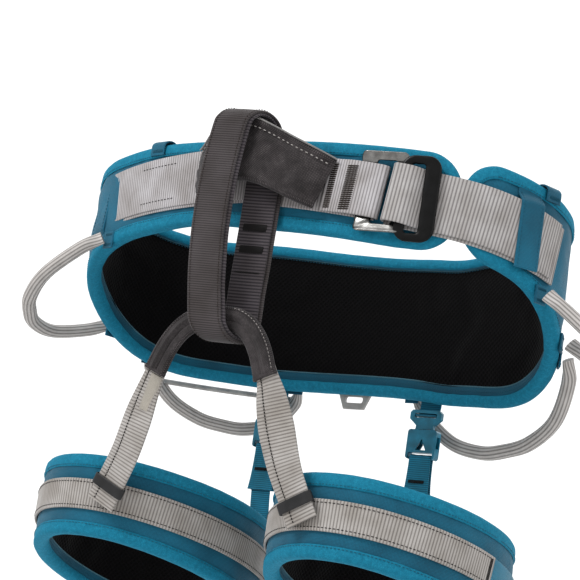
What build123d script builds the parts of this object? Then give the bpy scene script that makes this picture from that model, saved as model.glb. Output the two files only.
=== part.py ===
from build123d import *

# Sport climbing harness: padded waist belt, tie-in points, belay loop, two leg loops.
# +Z is up, -Y the wearer's front and +X the wearer's left. The origin is the middle of
# the waist opening. Lengths are millimetres, angles degrees.

import os
from math import atan2, ceil, cos, degrees, hypot, radians, sin

# --- driving dimensions -----------------------------------------------------
WAIST_HALF_WIDTH = 193.0      # to the middle of the padding
WAIST_HALF_DEPTH = 96.0
WAIST_SIDE_RADIUS = 76.0
FRONT_TOP, FRONT_BOTTOM = 66.0, -1.0      # padding edges at the middle of the front
BACK_TOP, BACK_BOTTOM = 26.0, -90.0       # and at the middle of the back

FOAM_HALF = 3.0               # half the foam's thickness
LINING, COVER = 1.5, 1.2
BINDING_INNER, BINDING_OUTER = -5.2, 4.8  # the binding's faces, from the oval
BINDING_DEPTH = 7.0
GAP_AT = 153.5                # where the padding opens, measured round from the front
GAP, END_RADIUS = 1.6, 26.0

WEBBING, LAYER_GAP = 2.0, 0.1
LEFT_WIDTH, RIGHT_WIDTH = 40.0, 44.0
LEFT_RUN = (41.0, 0.035, -0.30)           # height at the middle of the front, slopes
RIGHT_RUN = (38.0, -0.075, -0.20)
STACK = BINDING_OUTER + LAYER_GAP         # where the first layer of webbing starts
KEEPERS = {"left": (191.0, 211.0), "right": (-178.0, -153.0)}
STEEL_AT, BLACK_AT = 99.5, 125.5          # the two buckle frames, round from the front
STEEL_OFF, BLACK_OFF = 7.7, 10.9          # and how far out they lie

LOOP_WIDTH, LOOP_STRAND = 26.0, 4.5
LOOP_TOP, LOOP_BOTTOM = 84.5, -89.0
FRONT_STRAND, REAR_STRAND = (-8.0, -139.0), (12.0, -108.5)
LOOP_FACE = 14.0              # how far the strands' faces turn from straight ahead
SLEEVE, SLEEVE_Y = 8.0, -123.0            # the upper tie-in point
BRIDGE, BRIDGE_WIDTH = 7.0, 19.0          # the lower tie-in point
BRIDGE_Y, BRIDGE_END_X, BRIDGE_END_Z = -123.5, 46.0, -110.0

LEG_X, LEG_Y, LEG_MIDDLE = 103.0, -6.0, -5.0
LEG_HALF_DEPTH, LEG_HALF_WIDTH, LEG_SIDE_RADIUS = 96.0, 80.0, 64.0
LEG_FRONT_TOP, LEG_FRONT_BOTTOM = -172.0, -230.0
LEG_BACK_TOP, LEG_BACK_BOTTOM = -206.0, -282.0
LEG_WEBBING = 22.0
STRAP_WIDTH, STRAP = 25.0, 2.4
STRAP_TOP_Y, STRAP_FOOT_Y, STRAP_FOOT_Z = -121.5, -111.0, -208.0
STRAP_FOOT = {-1: -84.0, 1: 86.0}

RISER_X, RISER_MIDDLE = 69.0, -12.0
RISER_Y, RISER_FOOT_Y = {-1: 90.5, 1: 94.5}, {-1: 96.0, 1: 91.5}
RISER_WIDTH, ELASTIC = 20.0, 1.4
CLIP_TOP, CLIP_NECK, CLIP_SPLIT, CLIP_BOTTOM = -92.0, -102.0, -107.5, -130.5
CLIP_WIDTH, CLIP_HULL, CLIP_THICK, CLIP_WALL = 27.0, 25.0, 7.6, 1.5

GEAR_RADIUS = 4.8
# Each gear loop: where its ends are round the belt, how far it reaches out and down.
GEAR_LOOPS = {
    "front_right": (-145.0, -254.0, 56.0, 30.0),
    "rear_right": (-289.0, -412.0, 26.0, 42.0),
    "rear_left": (439.0, 280.0, 26.0, 50.0),
    "front_left": (264.0, 219.5, 50.0, 34.0),
}
GEAR_BAR_RADIUS, GEAR_BAR_INSET = 2.2, 15.0   # the straight bar across one gear loop
HAUL_X = -14.0
LABEL = (11.0, 28.0, 0.5)     # the care label sewn to the right leg's strap
TALL = 400.0                  # longer than anything that it cuts
UP = Vector(0, 0, 1)

os.makedirs("parts", exist_ok=True)


# --- shared geometry --------------------------------------------------------
class Oval:
    """A four-arc oval about (0, 0): sides of one radius, front and back of a larger one."""

    def __init__(self, half_width, half_depth, side_radius):
        self.side_radius = side_radius
        self.side_x = half_width - side_radius
        self.end_radius = (self.side_x**2 + half_depth**2 - side_radius**2) / (
            2 * (half_depth - side_radius)
        )
        self.end_y = self.end_radius - half_depth
        self.half_angle = degrees(atan2(self.side_x, self.end_y))
        self.quarter = self.end_radius * radians(self.half_angle)
        self.side = self.side_radius * radians(180 - 2 * self.half_angle)

    def outline(self, grow):
        """The face inside the oval, grown outwards."""
        turn, side, end = self.half_angle, self.side_radius + grow, self.end_radius + grow
        return make_face(
            [
                CenterArc((0, self.end_y), end, 270 - turn, 2 * turn),
                CenterArc((self.side_x, 0), side, turn - 90, 180 - 2 * turn),
                CenterArc((0, -self.end_y), end, 90 - turn, 2 * turn),
                CenterArc((-self.side_x, 0), side, 90 + turn, 180 - 2 * turn),
            ]
        )

    def band(self, inner, outer, low, high):
        """The wall between two offsets, cut to the slab between two planes."""
        wall = extrude(self.outline(outer) - self.outline(inner), TALL, both=True)
        return slab(wall, low, high)

    def at(self, s, off=0.0):
        """The plan point and outward direction at s round from the front middle.

        s is positive towards +X, and off is measured outwards from the oval.
        """
        sign, run = (1 if s >= 0 else -1), abs(s)
        if run <= self.quarter:
            turn = run / self.end_radius
            centre, radius = Vector(0, self.end_y), self.end_radius
        elif run <= self.quarter + self.side:
            turn = radians(self.half_angle) + (run - self.quarter) / self.side_radius
            centre, radius = Vector(self.side_x, 0), self.side_radius
        else:
            rest = run - self.quarter - self.side
            turn = radians(180 - self.half_angle) + rest / self.end_radius
            centre, radius = Vector(0, -self.end_y), self.end_radius
        out = Vector(sin(turn), -cos(turn))
        point = centre + out * (radius + off)
        return Vector(sign * point.X, point.Y), Vector(sign * out.X, out.Y)

    def plane(self, s, off=0.0, z=0.0):
        """A plane on the wall: x runs round to the left, y is up and z is outwards."""
        point, out = self.at(s, off)
        return Plane(origin=(point.X, point.Y, z), x_dir=(-out.Y, out.X, 0), z_dir=out)


def sloping(z_at_origin, slope_x, slope_y):
    """The plane z = z_at_origin + slope_x * x + slope_y * y, facing up."""
    return Plane(origin=(0, 0, z_at_origin), z_dir=(-slope_x, -slope_y, 1))


def level(plane, point):
    """The height of a sloping plane over a plan point."""
    n, o = plane.z_dir, plane.origin
    return o.Z - (n.X * (point.X - o.X) + n.Y * (point.Y - o.Y)) / n.Z


def edge_plane(front_z, back_z, half, inset=0.0, along_x=False):
    """A plane from the front edge to the back edge, moved up by inset square to itself."""
    slope = (back_z - front_z) / (2 * half)
    middle = (front_z + back_z) / 2 + inset * hypot(1, slope)
    return sloping(middle, slope if along_x else 0, 0 if along_x else slope)


def slab(solid, low, high):
    """What lies above the low plane and below the high one."""
    solid = split(solid, bisect_by=low, keep=Keep.TOP)
    return split(solid, bisect_by=high, keep=Keep.BOTTOM)


def write(name, *shapes):
    """One STEP for each node."""
    solids = [solid for shape in shapes for solid in shape.solids()]
    whole = solids[0] if len(solids) == 1 else Compound(children=solids)
    export_step(whole, f"parts/{name}.step")


def ribbon(points, thickness):
    """The face of even thickness along a path, with square ends and mitred corners."""
    points = [Vector(*point) for point in points]
    left, right = [], []
    for i, point in enumerate(points):
        before = (point - points[i - 1] if i else points[1] - point).normalized()
        after = (points[i + 1] - point).normalized() if i + 1 < len(points) else before
        mean = (before + after).normalized()
        normal = Vector(-mean.Y, mean.X)
        reach = thickness / 2 / normal.dot(Vector(-before.Y, before.X))
        left.append(point + normal * reach)
        right.append(point - normal * reach)
    return make_face(Polyline(*left, *reversed(right), close=True))


def front_plate(outline, y_back, y_front):
    """A face drawn in X and Z, made solid between two depths."""
    face = Plane(origin=(0, y_back, 0), x_dir=(1, 0, 0), z_dir=(0, -1, 0)) * outline
    return extrude(face, y_back - y_front)


def side_plate(outline, x_middle, width):
    """A face drawn in Y and Z, made solid across a width."""
    face = Plane(origin=(x_middle, 0, 0), x_dir=(0, 1, 0), z_dir=(1, 0, 0)) * outline
    return extrude(face, width / 2, both=True)


WAIST = Oval(WAIST_HALF_WIDTH, WAIST_HALF_DEPTH, WAIST_SIDE_RADIUS)
LEG = Oval(LEG_HALF_DEPTH, LEG_HALF_WIDTH, LEG_SIDE_RADIUS)


def waist_planes(inset=0.0):
    """The padding's lower and upper edges."""
    return (
        edge_plane(FRONT_BOTTOM, BACK_BOTTOM, WAIST_HALF_DEPTH, inset),
        edge_plane(FRONT_TOP, BACK_TOP, WAIST_HALF_DEPTH, -inset),
    )


def leg_planes(inset=0.0):
    """A leg loop's lower and upper edges, in its own frame, whose -X is the front."""
    return (
        edge_plane(LEG_FRONT_BOTTOM, LEG_BACK_BOTTOM, LEG_HALF_DEPTH, inset, True),
        edge_plane(LEG_FRONT_TOP, LEG_BACK_TOP, LEG_HALF_DEPTH, -inset, True),
    )


def run_planes(run, width, rise=0.0):
    """The lower and upper edges of a strap that follows one of the webbing's runs."""
    height, slope_x, slope_y = run
    middle = height + rise + slope_y * WAIST_HALF_DEPTH
    half = width / 2 * hypot(1, slope_y)
    return [sloping(middle + side * half, slope_x, slope_y) for side in (-1, 1)]


def run_z(run, s):
    """The height of a run's centre line, s round from the front."""
    point = WAIST.at(s)[0]
    return run[0] + run[1] * point.X + run[2] * (point.Y + WAIST_HALF_DEPTH)


def waist_gap(inset):
    """What is cut from the padding between its two rounded ends."""
    face = WAIST.plane(GAP_AT)
    low, high = waist_planes(inset)
    radius, near, reach = END_RADIUS - inset, GAP / 2 + inset, 110.0
    tool = Rectangle(2 * (radius + near), TALL)
    for sign in (-1, 1):
        spans = (sign * near, sign * (near + reach))
        corners = [
            (x, level(plane, face.origin + face.x_dir * x))
            for x, plane in (
                (spans[0], low), (spans[0], high), (spans[1], high), (spans[1], low)
            )
        ]
        end = make_face(Polyline(*corners, close=True))
        tool -= fillet([v for v in end.vertices() if abs(v.X - spans[0]) < 1e-6], radius)
    return extrude(face * tool, 45, both=True)


def padding(inner, outer, inset):
    """A layer of the waist belt, open at the wearer's left."""
    return WAIST.band(inner, outer, *waist_planes(inset)) - waist_gap(inset)


def strap(path, thickness, planes, step=6.0):
    """Webbing on edge round the belt, along (distance round, offset), cut to a slab."""
    points = []
    for (s0, off0), (s1, off1) in zip(path, path[1:]):
        count = max(1, ceil(abs(s1 - s0) / step))
        for i in range(count):
            part = i / count
            points.append(WAIST.at(s0 + (s1 - s0) * part, off0 + (off1 - off0) * part)[0])
    points.append(WAIST.at(*path[-1])[0])
    return slab(extrude(ribbon(points, thickness), TALL, both=True), *planes)


def layer(start, end, number, planes, thickness=WEBBING):
    """A strap that lies flat as the given layer of the stack, from 0."""
    middle = STACK + (WEBBING + LAYER_GAP) * number + thickness / 2
    return strap([(start, middle), (end, middle)], thickness, planes)


# --- waist padding ----------------------------------------------------------
write("waist_lining", padding(-FOAM_HALF - LINING, -FOAM_HALF, BINDING_DEPTH))
write("waist_foam", padding(-FOAM_HALF, FOAM_HALF, BINDING_DEPTH))
write("waist_cover", padding(FOAM_HALF, FOAM_HALF + COVER, BINDING_DEPTH))
write(
    "waist_binding",
    padding(BINDING_INNER, BINDING_OUTER, 0)
    - padding(BINDING_INNER - 1, BINDING_OUTER + 1, BINDING_DEPTH),
)

# --- waist webbing and keepers ----------------------------------------------
left_planes = run_planes(LEFT_RUN, LEFT_WIDTH)
front_planes = run_planes(RIGHT_RUN, LEFT_WIDTH)
right_planes = run_planes(RIGHT_RUN, RIGHT_WIDTH)
second = STACK + 1.5 * WEBBING + LAYER_GAP

write("webbing_fixed", layer(-160, -2, 0, left_planes))
write("webbing_front", layer(-1, 101, 0, front_planes))
write(
    "buckle_webbing",
    strap([(66, second), (71, second), (78, 12.2), (102, 12.2)], WEBBING, front_planes),
)
write("webbing_load", layer(104, 232, 0, right_planes))
write(
    "webbing_tail",
    strap(
        [(106, 16.2), (119, 16.2), (127.8, second), (226, second)],
        WEBBING, run_planes(RIGHT_RUN, RIGHT_WIDTH - 2, -0.6),
    ),
)
write("keeper_right", layer(*KEEPERS["right"], 1, waist_planes(1.5), 1.4))
write("keeper_left", layer(*KEEPERS["left"], 2, waist_planes(1.5), 1.4))


def edge_loop(s, width=14.0, reach=8.0, thick=1.4):
    """A small webbing loop folded over the padding's upper edge."""
    point, out = WAIST.at(s)
    top = level(waist_planes()[1], point) + 3.2
    inner, outer = BINDING_INNER - 1.6, BINDING_OUTER + 1.6
    path = [(outer, top - reach), (outer, top), (inner, top), (inner, top - reach)]
    wall = Plane(origin=(point.X, point.Y, 0), x_dir=out, z_dir=out.cross(UP))
    return extrude(wall * ribbon(path, thick), width / 2, both=True)


write("edge_loop_right", edge_loop(-100))
write("edge_loop_left", edge_loop(220))


# --- waist buckle -----------------------------------------------------------
def buckle_frame(s, off, wide, tall, thick, slot, slot_shift, corner, lip=0.0):
    """A frame flat on the webbing with one slot, and lips turned out at its two ends."""
    plane = WAIST.plane(s, off, run_z(RIGHT_RUN, s))
    plate = RectangleRounded(wide, tall, corner) - Pos(slot_shift, 0) * RectangleRounded(*slot, 2)
    frame = extrude(plane * plate, thick)
    for side in (-1, 1):
        if lip:
            rib = Pos(0, side * (tall - thick) / 2, (thick + lip) / 2)
            frame += plane * rib * Box(wide - 11, thick, thick + lip)
    return frame


write("steel_frame", buckle_frame(STEEL_AT, STEEL_OFF, 35, 58, 2.6, (15, 46), 2, 4, 4.0))
write("black_frame", buckle_frame(BLACK_AT, BLACK_OFF, 29, 62, 3.0, (10, 50), -2, 10))

# --- upper tie-in point and belay loop --------------------------------------
sleeve_path = [WAIST.at(-47, 11.3)[0], (-18, SLEEVE_Y), (16, SLEEVE_Y), WAIST.at(64, 11.3)[0]]
sleeve_outline = Polyline(
    (-60, 57), (-45, 58), (-18, 75.5), (6, 77.5), (61, 52.5), (75, 49),
    (75, 13), (61, 14), (6, 29), (-18, 29), (-45, 24), (-60, 24), close=True,
)
write(
    "upper_tie_in",
    extrude(ribbon(sleeve_path, SLEEVE), TALL, both=True)
    & front_plate(make_face(sleeve_outline), -60, -180),
)

face_along = Vector(cos(radians(LOOP_FACE)), sin(radians(LOOP_FACE)))
across = Vector(-face_along.Y, face_along.X)
front_strand, rear_strand = Vector(*FRONT_STRAND), Vector(*REAR_STRAND)
loop_centre = (front_strand + rear_strand) * 0.5
loop_lean = (rear_strand - front_strand).normalized()
edge_normal = Vector(loop_lean.Y, -loop_lean.X)
edge_reach = LOOP_WIDTH / 2 * edge_normal.dot(face_along)
half_depth = (rear_strand - front_strand).dot(across) / 2 + LOOP_STRAND / 2
loop_plane = Plane(
    origin=(loop_centre.X, loop_centre.Y, (LOOP_TOP + LOOP_BOTTOM) / 2),
    x_dir=across, z_dir=across.cross(UP),
)


def between_edges(face, reach):
    """A face drawn square to the loop's edges, made solid between them."""
    solid = extrude(loop_plane * face, 60, both=True)
    for side in (-1, 1):
        edge = Plane(origin=loop_centre + edge_normal * side * reach, z_dir=edge_normal * side)
        solid = split(solid, bisect_by=edge, keep=Keep.BOTTOM)
    return solid


loop_height = LOOP_TOP - LOOP_BOTTOM
write(
    "belay_loop",
    between_edges(
        SlotOverall(loop_height, 2 * half_depth, rotation=90)
        - SlotOverall(loop_height - 2 * LOOP_STRAND, 2 * (half_depth - LOOP_STRAND), rotation=90),
        edge_reach,
    ),
)
write(
    "belay_loop_bartacks",
    *[
        between_edges(Pos(half_depth - LOOP_STRAND - 0.4, z) * Rectangle(0.8, 5),
                      edge_reach * 0.62)
        for z in (-16.0, 0.0)
    ],
)

# --- lower tie-in point -----------------------------------------------------
arm = [(14, -72.5), (28, -79), (39, -93), (BRIDGE_END_X, BRIDGE_END_Z), (52, -125)]
bridge_path = [(-x, z) for x, z in reversed(arm)] + arm
arch = front_plate(ribbon(bridge_path, BRIDGE_WIDTH), BRIDGE_Y + BRIDGE / 2,
                   BRIDGE_Y - BRIDGE / 2)
write("lower_tie_in", split(arch, bisect_by=Plane.XY.offset(BRIDGE_END_Z), keep=Keep.TOP))


# --- gear loops and haul loop -----------------------------------------------
def bent_bar(points, radius):
    """A round bar along a smooth curve."""
    path = Spline(*points)
    return sweep(Plane(path @ 0, z_dir=path % 0) * Circle(radius), path=path)


anchors = []
for name, (start, end, out_reach, drop) in GEAR_LOOPS.items():
    ends = []
    for s in (start, end):
        point, out = WAIST.at(s, BINDING_OUTER + GEAR_RADIUS + 2.4)
        ends.append(Vector(point.X, point.Y, level(waist_planes()[0], point) + 7))
        anchor = WAIST.plane(s, STACK, ends[-1].Z)
        anchors.append(extrude(anchor * Rectangle(12, 13), 1.8))
    first, last = ends
    outwards = (last - first).cross(UP).normalized()
    if outwards.dot(WAIST.at((start + end) / 2)[1]) < 0:
        outwards = outwards * -1
    curve = [
        first + (last - first) * part + (outwards * out_reach - UP * drop) * sag
        for part, sag in (
            (0.0, 0.0), (0.03, 0.3), (0.16, 0.74), (0.34, 0.96), (0.5, 1.0),
            (0.66, 0.96), (0.84, 0.74), (0.97, 0.3), (1.0, 0.0),
        )
    ]
    write(f"gear_loop_{name}", bent_bar(curve, GEAR_RADIUS))
    if name == "rear_right":
        along = (last - first).normalized()
        sagging = outwards * out_reach - UP * drop
        ends = [first + sagging * 0.44 + along * GEAR_BAR_INSET * 1.25,
                last + sagging * 0.31 - along * GEAR_BAR_INSET]
        rod = Cylinder(GEAR_BAR_RADIUS, (ends[1] - ends[0]).length)
        across_gap = (ends[1] - ends[0]).normalized()
        write(f"gear_bar_{name}", Plane((ends[0] + ends[1]) * 0.5, z_dir=across_gap) * rod)
write("gear_loop_anchors", *anchors)

haul_tab = Plane(
    origin=(HAUL_X, WAIST_HALF_DEPTH + BINDING_OUTER + 0.8, 0), x_dir=(-1, 0, 0), z_dir=(0, 1, 0)
)
haul_outline = make_face(
    Polyline((-17, -63), (17, -63), (17, -75), (9, -93), (-9, -93), (-17, -75), close=True)
)
haul_window = Pos(0, -85.5) * RectangleRounded(16, 5, 2)
write("haul_loop", extrude(haul_tab * (haul_outline - haul_window), 2.6))

# --- leg loops --------------------------------------------------------------
low, high = leg_planes()
middle = [
    Plane(origin=(low.origin + high.origin) * 0.5 + UP * rise, z_dir=low.z_dir + high.z_dir)
    for rise in (-LEG_WEBBING / 2, LEG_WEBBING / 2)
]
lean = atan2(STRAP_FOOT_Y - STRAP_TOP_Y, BRIDGE_END_Z - STRAP_FOOT_Z)
drop = STRAP_FOOT_Z - BRIDGE_END_Z
strap_plane = Plane(
    origin=(0, STRAP_TOP_Y, BRIDGE_END_Z), x_dir=(1, 0, 0),
    z_dir=(0, -cos(lean), -sin(lean)),
)

for side, label in ((-1, "right"), (1, "left")):
    place = Pos(LEG_MIDDLE + side * LEG_X, LEG_Y, 0) * Rot(0, 0, 90)
    layers = {
        "lining": (-FOAM_HALF - LINING, -FOAM_HALF),
        "foam": (-FOAM_HALF, FOAM_HALF),
        "cover": (FOAM_HALF, FOAM_HALF + COVER),
    }
    for part, offsets in layers.items():
        write(f"leg_{part}_{label}", place * LEG.band(*offsets, *leg_planes(BINDING_DEPTH)))
    write(
        f"leg_binding_{label}",
        place * (
            LEG.band(BINDING_INNER, BINDING_OUTER, *leg_planes())
            - LEG.band(BINDING_INNER - 1, BINDING_OUTER + 1, *leg_planes(BINDING_DEPTH))
        ),
    )

    # The webbing goes round all of the loop but the elastic part at the outside.
    ring = LEG.band(STACK, STACK + WEBBING, *middle)
    outside = extrude(Pos(22, -side * 60) * Rectangle(64, 100), TALL, both=True)
    write(f"leg_webbing_{label}", place * (ring - outside))
    write(f"leg_elastic_{label}", place * (ring & outside))

    top_x, shift = side * BRIDGE_END_X, STRAP_FOOT[side] - side * BRIDGE_END_X
    path = [(top_x - shift * 0.05, 8), (top_x + shift * 0.5, drop * 0.6), (top_x + shift, drop)]
    front_strap = extrude(strap_plane * ribbon(path, STRAP_WIDTH), STRAP)
    top = Plane.XY.offset(BRIDGE_END_Z - 0.5)
    write(f"leg_strap_{label}", split(front_strap, bisect_by=top, keep=Keep.BOTTOM))
    keeper = Pos(top_x + shift * 0.85, drop * 0.88, STRAP + 0.8)
    write(f"leg_keeper_{label}", strap_plane * keeper * Box(STRAP_WIDTH + 3, 8, 1.4))

    if side < 0:
        lean_in = degrees(atan2(shift * 0.55, 8 - drop * 0.6))
        spot = Pos(top_x + shift * 0.05, drop * 0.2, STRAP + 0.05 + LABEL[2] / 2)
        write("care_label", strap_plane * spot * Rot(0, 0, lean_in) * Box(*LABEL))

    # --- rear riser: tab, side-release clip, folded strap and elastic -------
    x, y = RISER_MIDDLE + side * RISER_X, RISER_Y[side]
    wall = (WAIST.end_radius + STACK) ** 2 - (abs(x) - RISER_WIDTH / 2) ** 2
    tab_y = wall**0.5 - WAIST.end_y + ELASTIC / 2 + 0.1
    outer_y = y + 1.9 + 0.3 + ELASTIC / 2
    tab = [(tab_y, -64), (tab_y, CLIP_TOP + 1), (outer_y, CLIP_TOP - 2),
           (outer_y, CLIP_TOP - 4.2), (y - 1.5, CLIP_TOP - 4.2)]
    write(f"riser_tab_{label}", side_plate(ribbon(tab, ELASTIC), x, RISER_WIDTH - 2))

    back = Plane(origin=(x, y, 0), x_dir=(-1, 0, 0), z_dir=(0, 1, 0))
    prong = 3.0
    half = CLIP_WIDTH / 2
    body = Polyline(
        (-half, CLIP_TOP - 2), (-half + 2, CLIP_TOP), (half - 2, CLIP_TOP), (half, CLIP_TOP - 2),
        (half, CLIP_TOP - 7), (half - 6, CLIP_NECK - 2), (half - 6, CLIP_SPLIT + 0.6),
        (-half + 6, CLIP_SPLIT + 0.6), (-half + 6, CLIP_NECK - 2), (-half, CLIP_TOP - 7),
        close=True,
    )
    male = extrude(
        back * (make_face(body) - Pos(0, CLIP_TOP - 4.2) * RectangleRounded(19, 3.4, 1.2)),
        1.9, both=True,
    )
    for arm_side in (-1, 1):
        arm = [(arm_side * (half - 7.5), CLIP_SPLIT + 2), (arm_side * (half - 4.4), CLIP_SPLIT - 8),
               (arm_side * (half - 5.0), CLIP_SPLIT - 14)]
        male += extrude(back * ribbon(arm, prong), 1.5, both=True)
    guide = Pos(0, CLIP_SPLIT - 4.5) * Rectangle(2.6, 13)
    male += extrude(back * guide, 1.3, both=True)
    write(f"clip_male_{label}", male)

    hull = Pos(0, (CLIP_SPLIT + CLIP_BOTTOM) / 2) * RectangleRounded(
        CLIP_HULL, CLIP_SPLIT - CLIP_BOTTOM, 2.5
    )
    female = extrude(back * hull, CLIP_THICK / 2, both=True)
    pocket = Pos(0, CLIP_SPLIT - 8) * Rectangle(CLIP_HULL - 2 * CLIP_WALL, 18)
    female -= extrude(back * pocket, CLIP_THICK / 2 - CLIP_WALL, both=True)
    for arm_side in (-1, 1):
        window = Pos(arm_side * half, CLIP_SPLIT - 9.5) * Rectangle(8, 9)
        female -= extrude(back * window, CLIP_THICK / 2 - CLIP_WALL, both=True)
    apex, base = CLIP_SPLIT - 7.5, CLIP_SPLIT - 16.0
    notch = make_face(Polyline((-4.4, base), (4.4, base), (0, apex), close=True))
    female -= extrude(back * notch, CLIP_THICK, both=True)
    strap_slot = Pos(0, CLIP_BOTTOM + 2.5) * Rectangle(21.5, 5.1)
    female -= extrude(back * strap_slot, CLIP_THICK, both=True)
    bar = Pos(0, CLIP_BOTTOM + 0.9) * Rectangle(22, 1.7)
    female += extrude(back * bar, 0.8, both=True)
    write(f"clip_female_{label}", female)

    # The doubled strap under the clip, and the elastic that runs inside it.
    fold_low = CLIP_BOTTOM - 34
    fold = [(y - 1.7, fold_low), (y - 1.7, CLIP_BOTTOM + 3.2), (y + 1.7, CLIP_BOTTOM + 3.2),
            (y + 1.7, fold_low)]
    write(f"riser_fold_{label}", side_plate(ribbon(fold, ELASTIC), x, RISER_WIDTH))
    foot_y = RISER_FOOT_Y[side]
    elastic = [(y, CLIP_BOTTOM - 22), (y, fold_low), (foot_y, LEG_BACK_TOP - 3),
               (foot_y, LEG_BACK_TOP - 30)]
    write(f"riser_elastic_{label}", side_plate(ribbon(elastic, ELASTIC), x, RISER_WIDTH - 1))
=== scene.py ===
from collections import namedtuple
from math import atan2, ceil, cos, exp, hypot, pi, radians, sin

import bmesh
import bpy
from mathutils import Matrix, Vector, noise


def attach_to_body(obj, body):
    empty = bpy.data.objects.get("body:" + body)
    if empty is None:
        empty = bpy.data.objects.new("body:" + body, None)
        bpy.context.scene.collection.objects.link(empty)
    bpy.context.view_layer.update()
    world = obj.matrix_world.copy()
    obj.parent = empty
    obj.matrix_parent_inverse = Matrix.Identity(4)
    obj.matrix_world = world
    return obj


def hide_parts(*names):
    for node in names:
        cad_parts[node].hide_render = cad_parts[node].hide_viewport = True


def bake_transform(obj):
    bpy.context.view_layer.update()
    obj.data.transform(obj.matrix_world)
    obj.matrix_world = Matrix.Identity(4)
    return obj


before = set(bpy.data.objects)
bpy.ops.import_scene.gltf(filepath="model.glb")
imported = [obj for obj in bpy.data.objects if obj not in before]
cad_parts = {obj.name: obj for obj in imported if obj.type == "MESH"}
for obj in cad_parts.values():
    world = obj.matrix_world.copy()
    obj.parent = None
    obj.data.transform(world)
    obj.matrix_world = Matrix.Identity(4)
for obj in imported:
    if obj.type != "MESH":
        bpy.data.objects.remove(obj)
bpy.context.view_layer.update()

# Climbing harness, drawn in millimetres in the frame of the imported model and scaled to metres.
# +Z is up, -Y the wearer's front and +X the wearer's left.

MM = 0.001
UP = Vector((0, 0, 1))
BELT = "waist_belt"

# --- driving dimensions, as in the part's design -----------------------------
END_RADIUS, GAP_AT, GAP = 26.0, 153.5, 1.6
STACK, WEBBING = 4.9, 2.0
LEFT_RUN, RIGHT_RUN = (41.0, 0.018, -0.30), (38.0, -0.075, -0.20)
LEFT_WIDTH, RIGHT_WIDTH = 40.0, 44.0
STEEL_AT, BLACK_AT = 99.5, 125.5
LOOP_WIDTH, LOOP_STRAND, LOOP_TOP, LOOP_BOTTOM = 26.0, 4.5, 84.5, -89.0
FRONT_STRAND, REAR_STRAND, LOOP_FACE = Vector((-8, -139, 0)), Vector((12, -108.5, 0)), 14.0
BRIDGE_Y, BRIDGE_END_X, BRIDGE_END_Z = -123.5, 46.0, -110.0
STRAP_TOP_Y, STRAP_FOOT_Y, STRAP_FOOT_Z, STRAP_WIDTH = -121.5, -111.0, -208.0, 25.0
STRAP_FOOT = {-1: -84.0, 1: 86.0}
RISER_X = {-1: -81.0, 1: 57.0}
RISER_Y, RISER_FOOT_Y = {-1: 90.5, 1: 94.5}, {-1: 96.0, 1: 91.5}
CLIP_BOTTOM = -130.5
GEAR_RADIUS = 4.8
GEAR_LOOPS = {
    "front_right": (-145.0, -254.0, 56.0, 30.0),
    "rear_right": (-289.0, -412.0, 26.0, 42.0),
    "rear_left": (439.0, 280.0, 26.0, 50.0),
    "front_left": (264.0, 219.5, 50.0, 34.0),
}


def place_object(name, data):
    made = bpy.data.objects.new(name, data)
    bpy.context.collection.objects.link(made)
    return made


# --- camera and light --------------------------------------------------------
def camera():
    data = bpy.data.cameras.new("view")
    data.lens, data.sensor_width = 131.76, 36.0
    place = Vector((0.8362, -1.3322, -0.3314))
    aim = Vector((-0.0153, -0.0125, -0.0241))
    roll = radians(8.49)
    ahead = (aim - place).normalized()
    level = ahead.cross(UP).normalized()
    rise = level.cross(ahead)
    across = level * cos(roll) + rise * sin(roll)
    upward = rise * cos(roll) - level * sin(roll)
    turn = Matrix((across, upward, -ahead)).transposed().to_4x4()
    view = place_object("view", data)
    view.matrix_world = Matrix.Translation(place) @ turn
    bpy.context.scene.camera = view


def lamp(name, place, aim, size, power):
    data = bpy.data.lights.new(name, "AREA")
    data.shape, data.size, data.energy = "DISK", size, power
    light = place_object(name, data)
    light.location = place
    light.rotation_euler = (Vector(aim) - Vector(place)).to_track_quat("-Z", "Y").to_euler()


def studio():
    world = bpy.data.worlds.new("studio")
    bpy.context.scene.world = world
    world.use_nodes = True
    backdrop = world.node_tree.nodes["Background"]
    backdrop.inputs["Color"].default_value = (1.0, 1.0, 1.0, 1.0)
    backdrop.inputs["Strength"].default_value = 1.0
    lamp("key", (-0.6, -1.7, 1.3), (0, 0, -0.05), 0.7, 20)
    lamp("fill", (1.8, -0.9, 0.3), (0, 0, -0.1), 1.4, 3)
    lamp("back", (0.3, 1.8, 1.2), (0, 0, -0.05), 1.2, 5)
    bpy.context.scene.view_settings.view_transform = "Standard"
    bpy.context.scene.view_settings.look = "Medium High Contrast"


camera()
studio()


# --- materials ---------------------------------------------------------------
def tint(code):
    """A web colour as linear values."""
    parts = [int(code[i:i + 2], 16) / 255 for i in (0, 2, 4)]
    return tuple(c / 12.92 if c < 0.04045 else ((c + 0.055) / 1.055) ** 2.4 for c in parts) + (1,)


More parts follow.
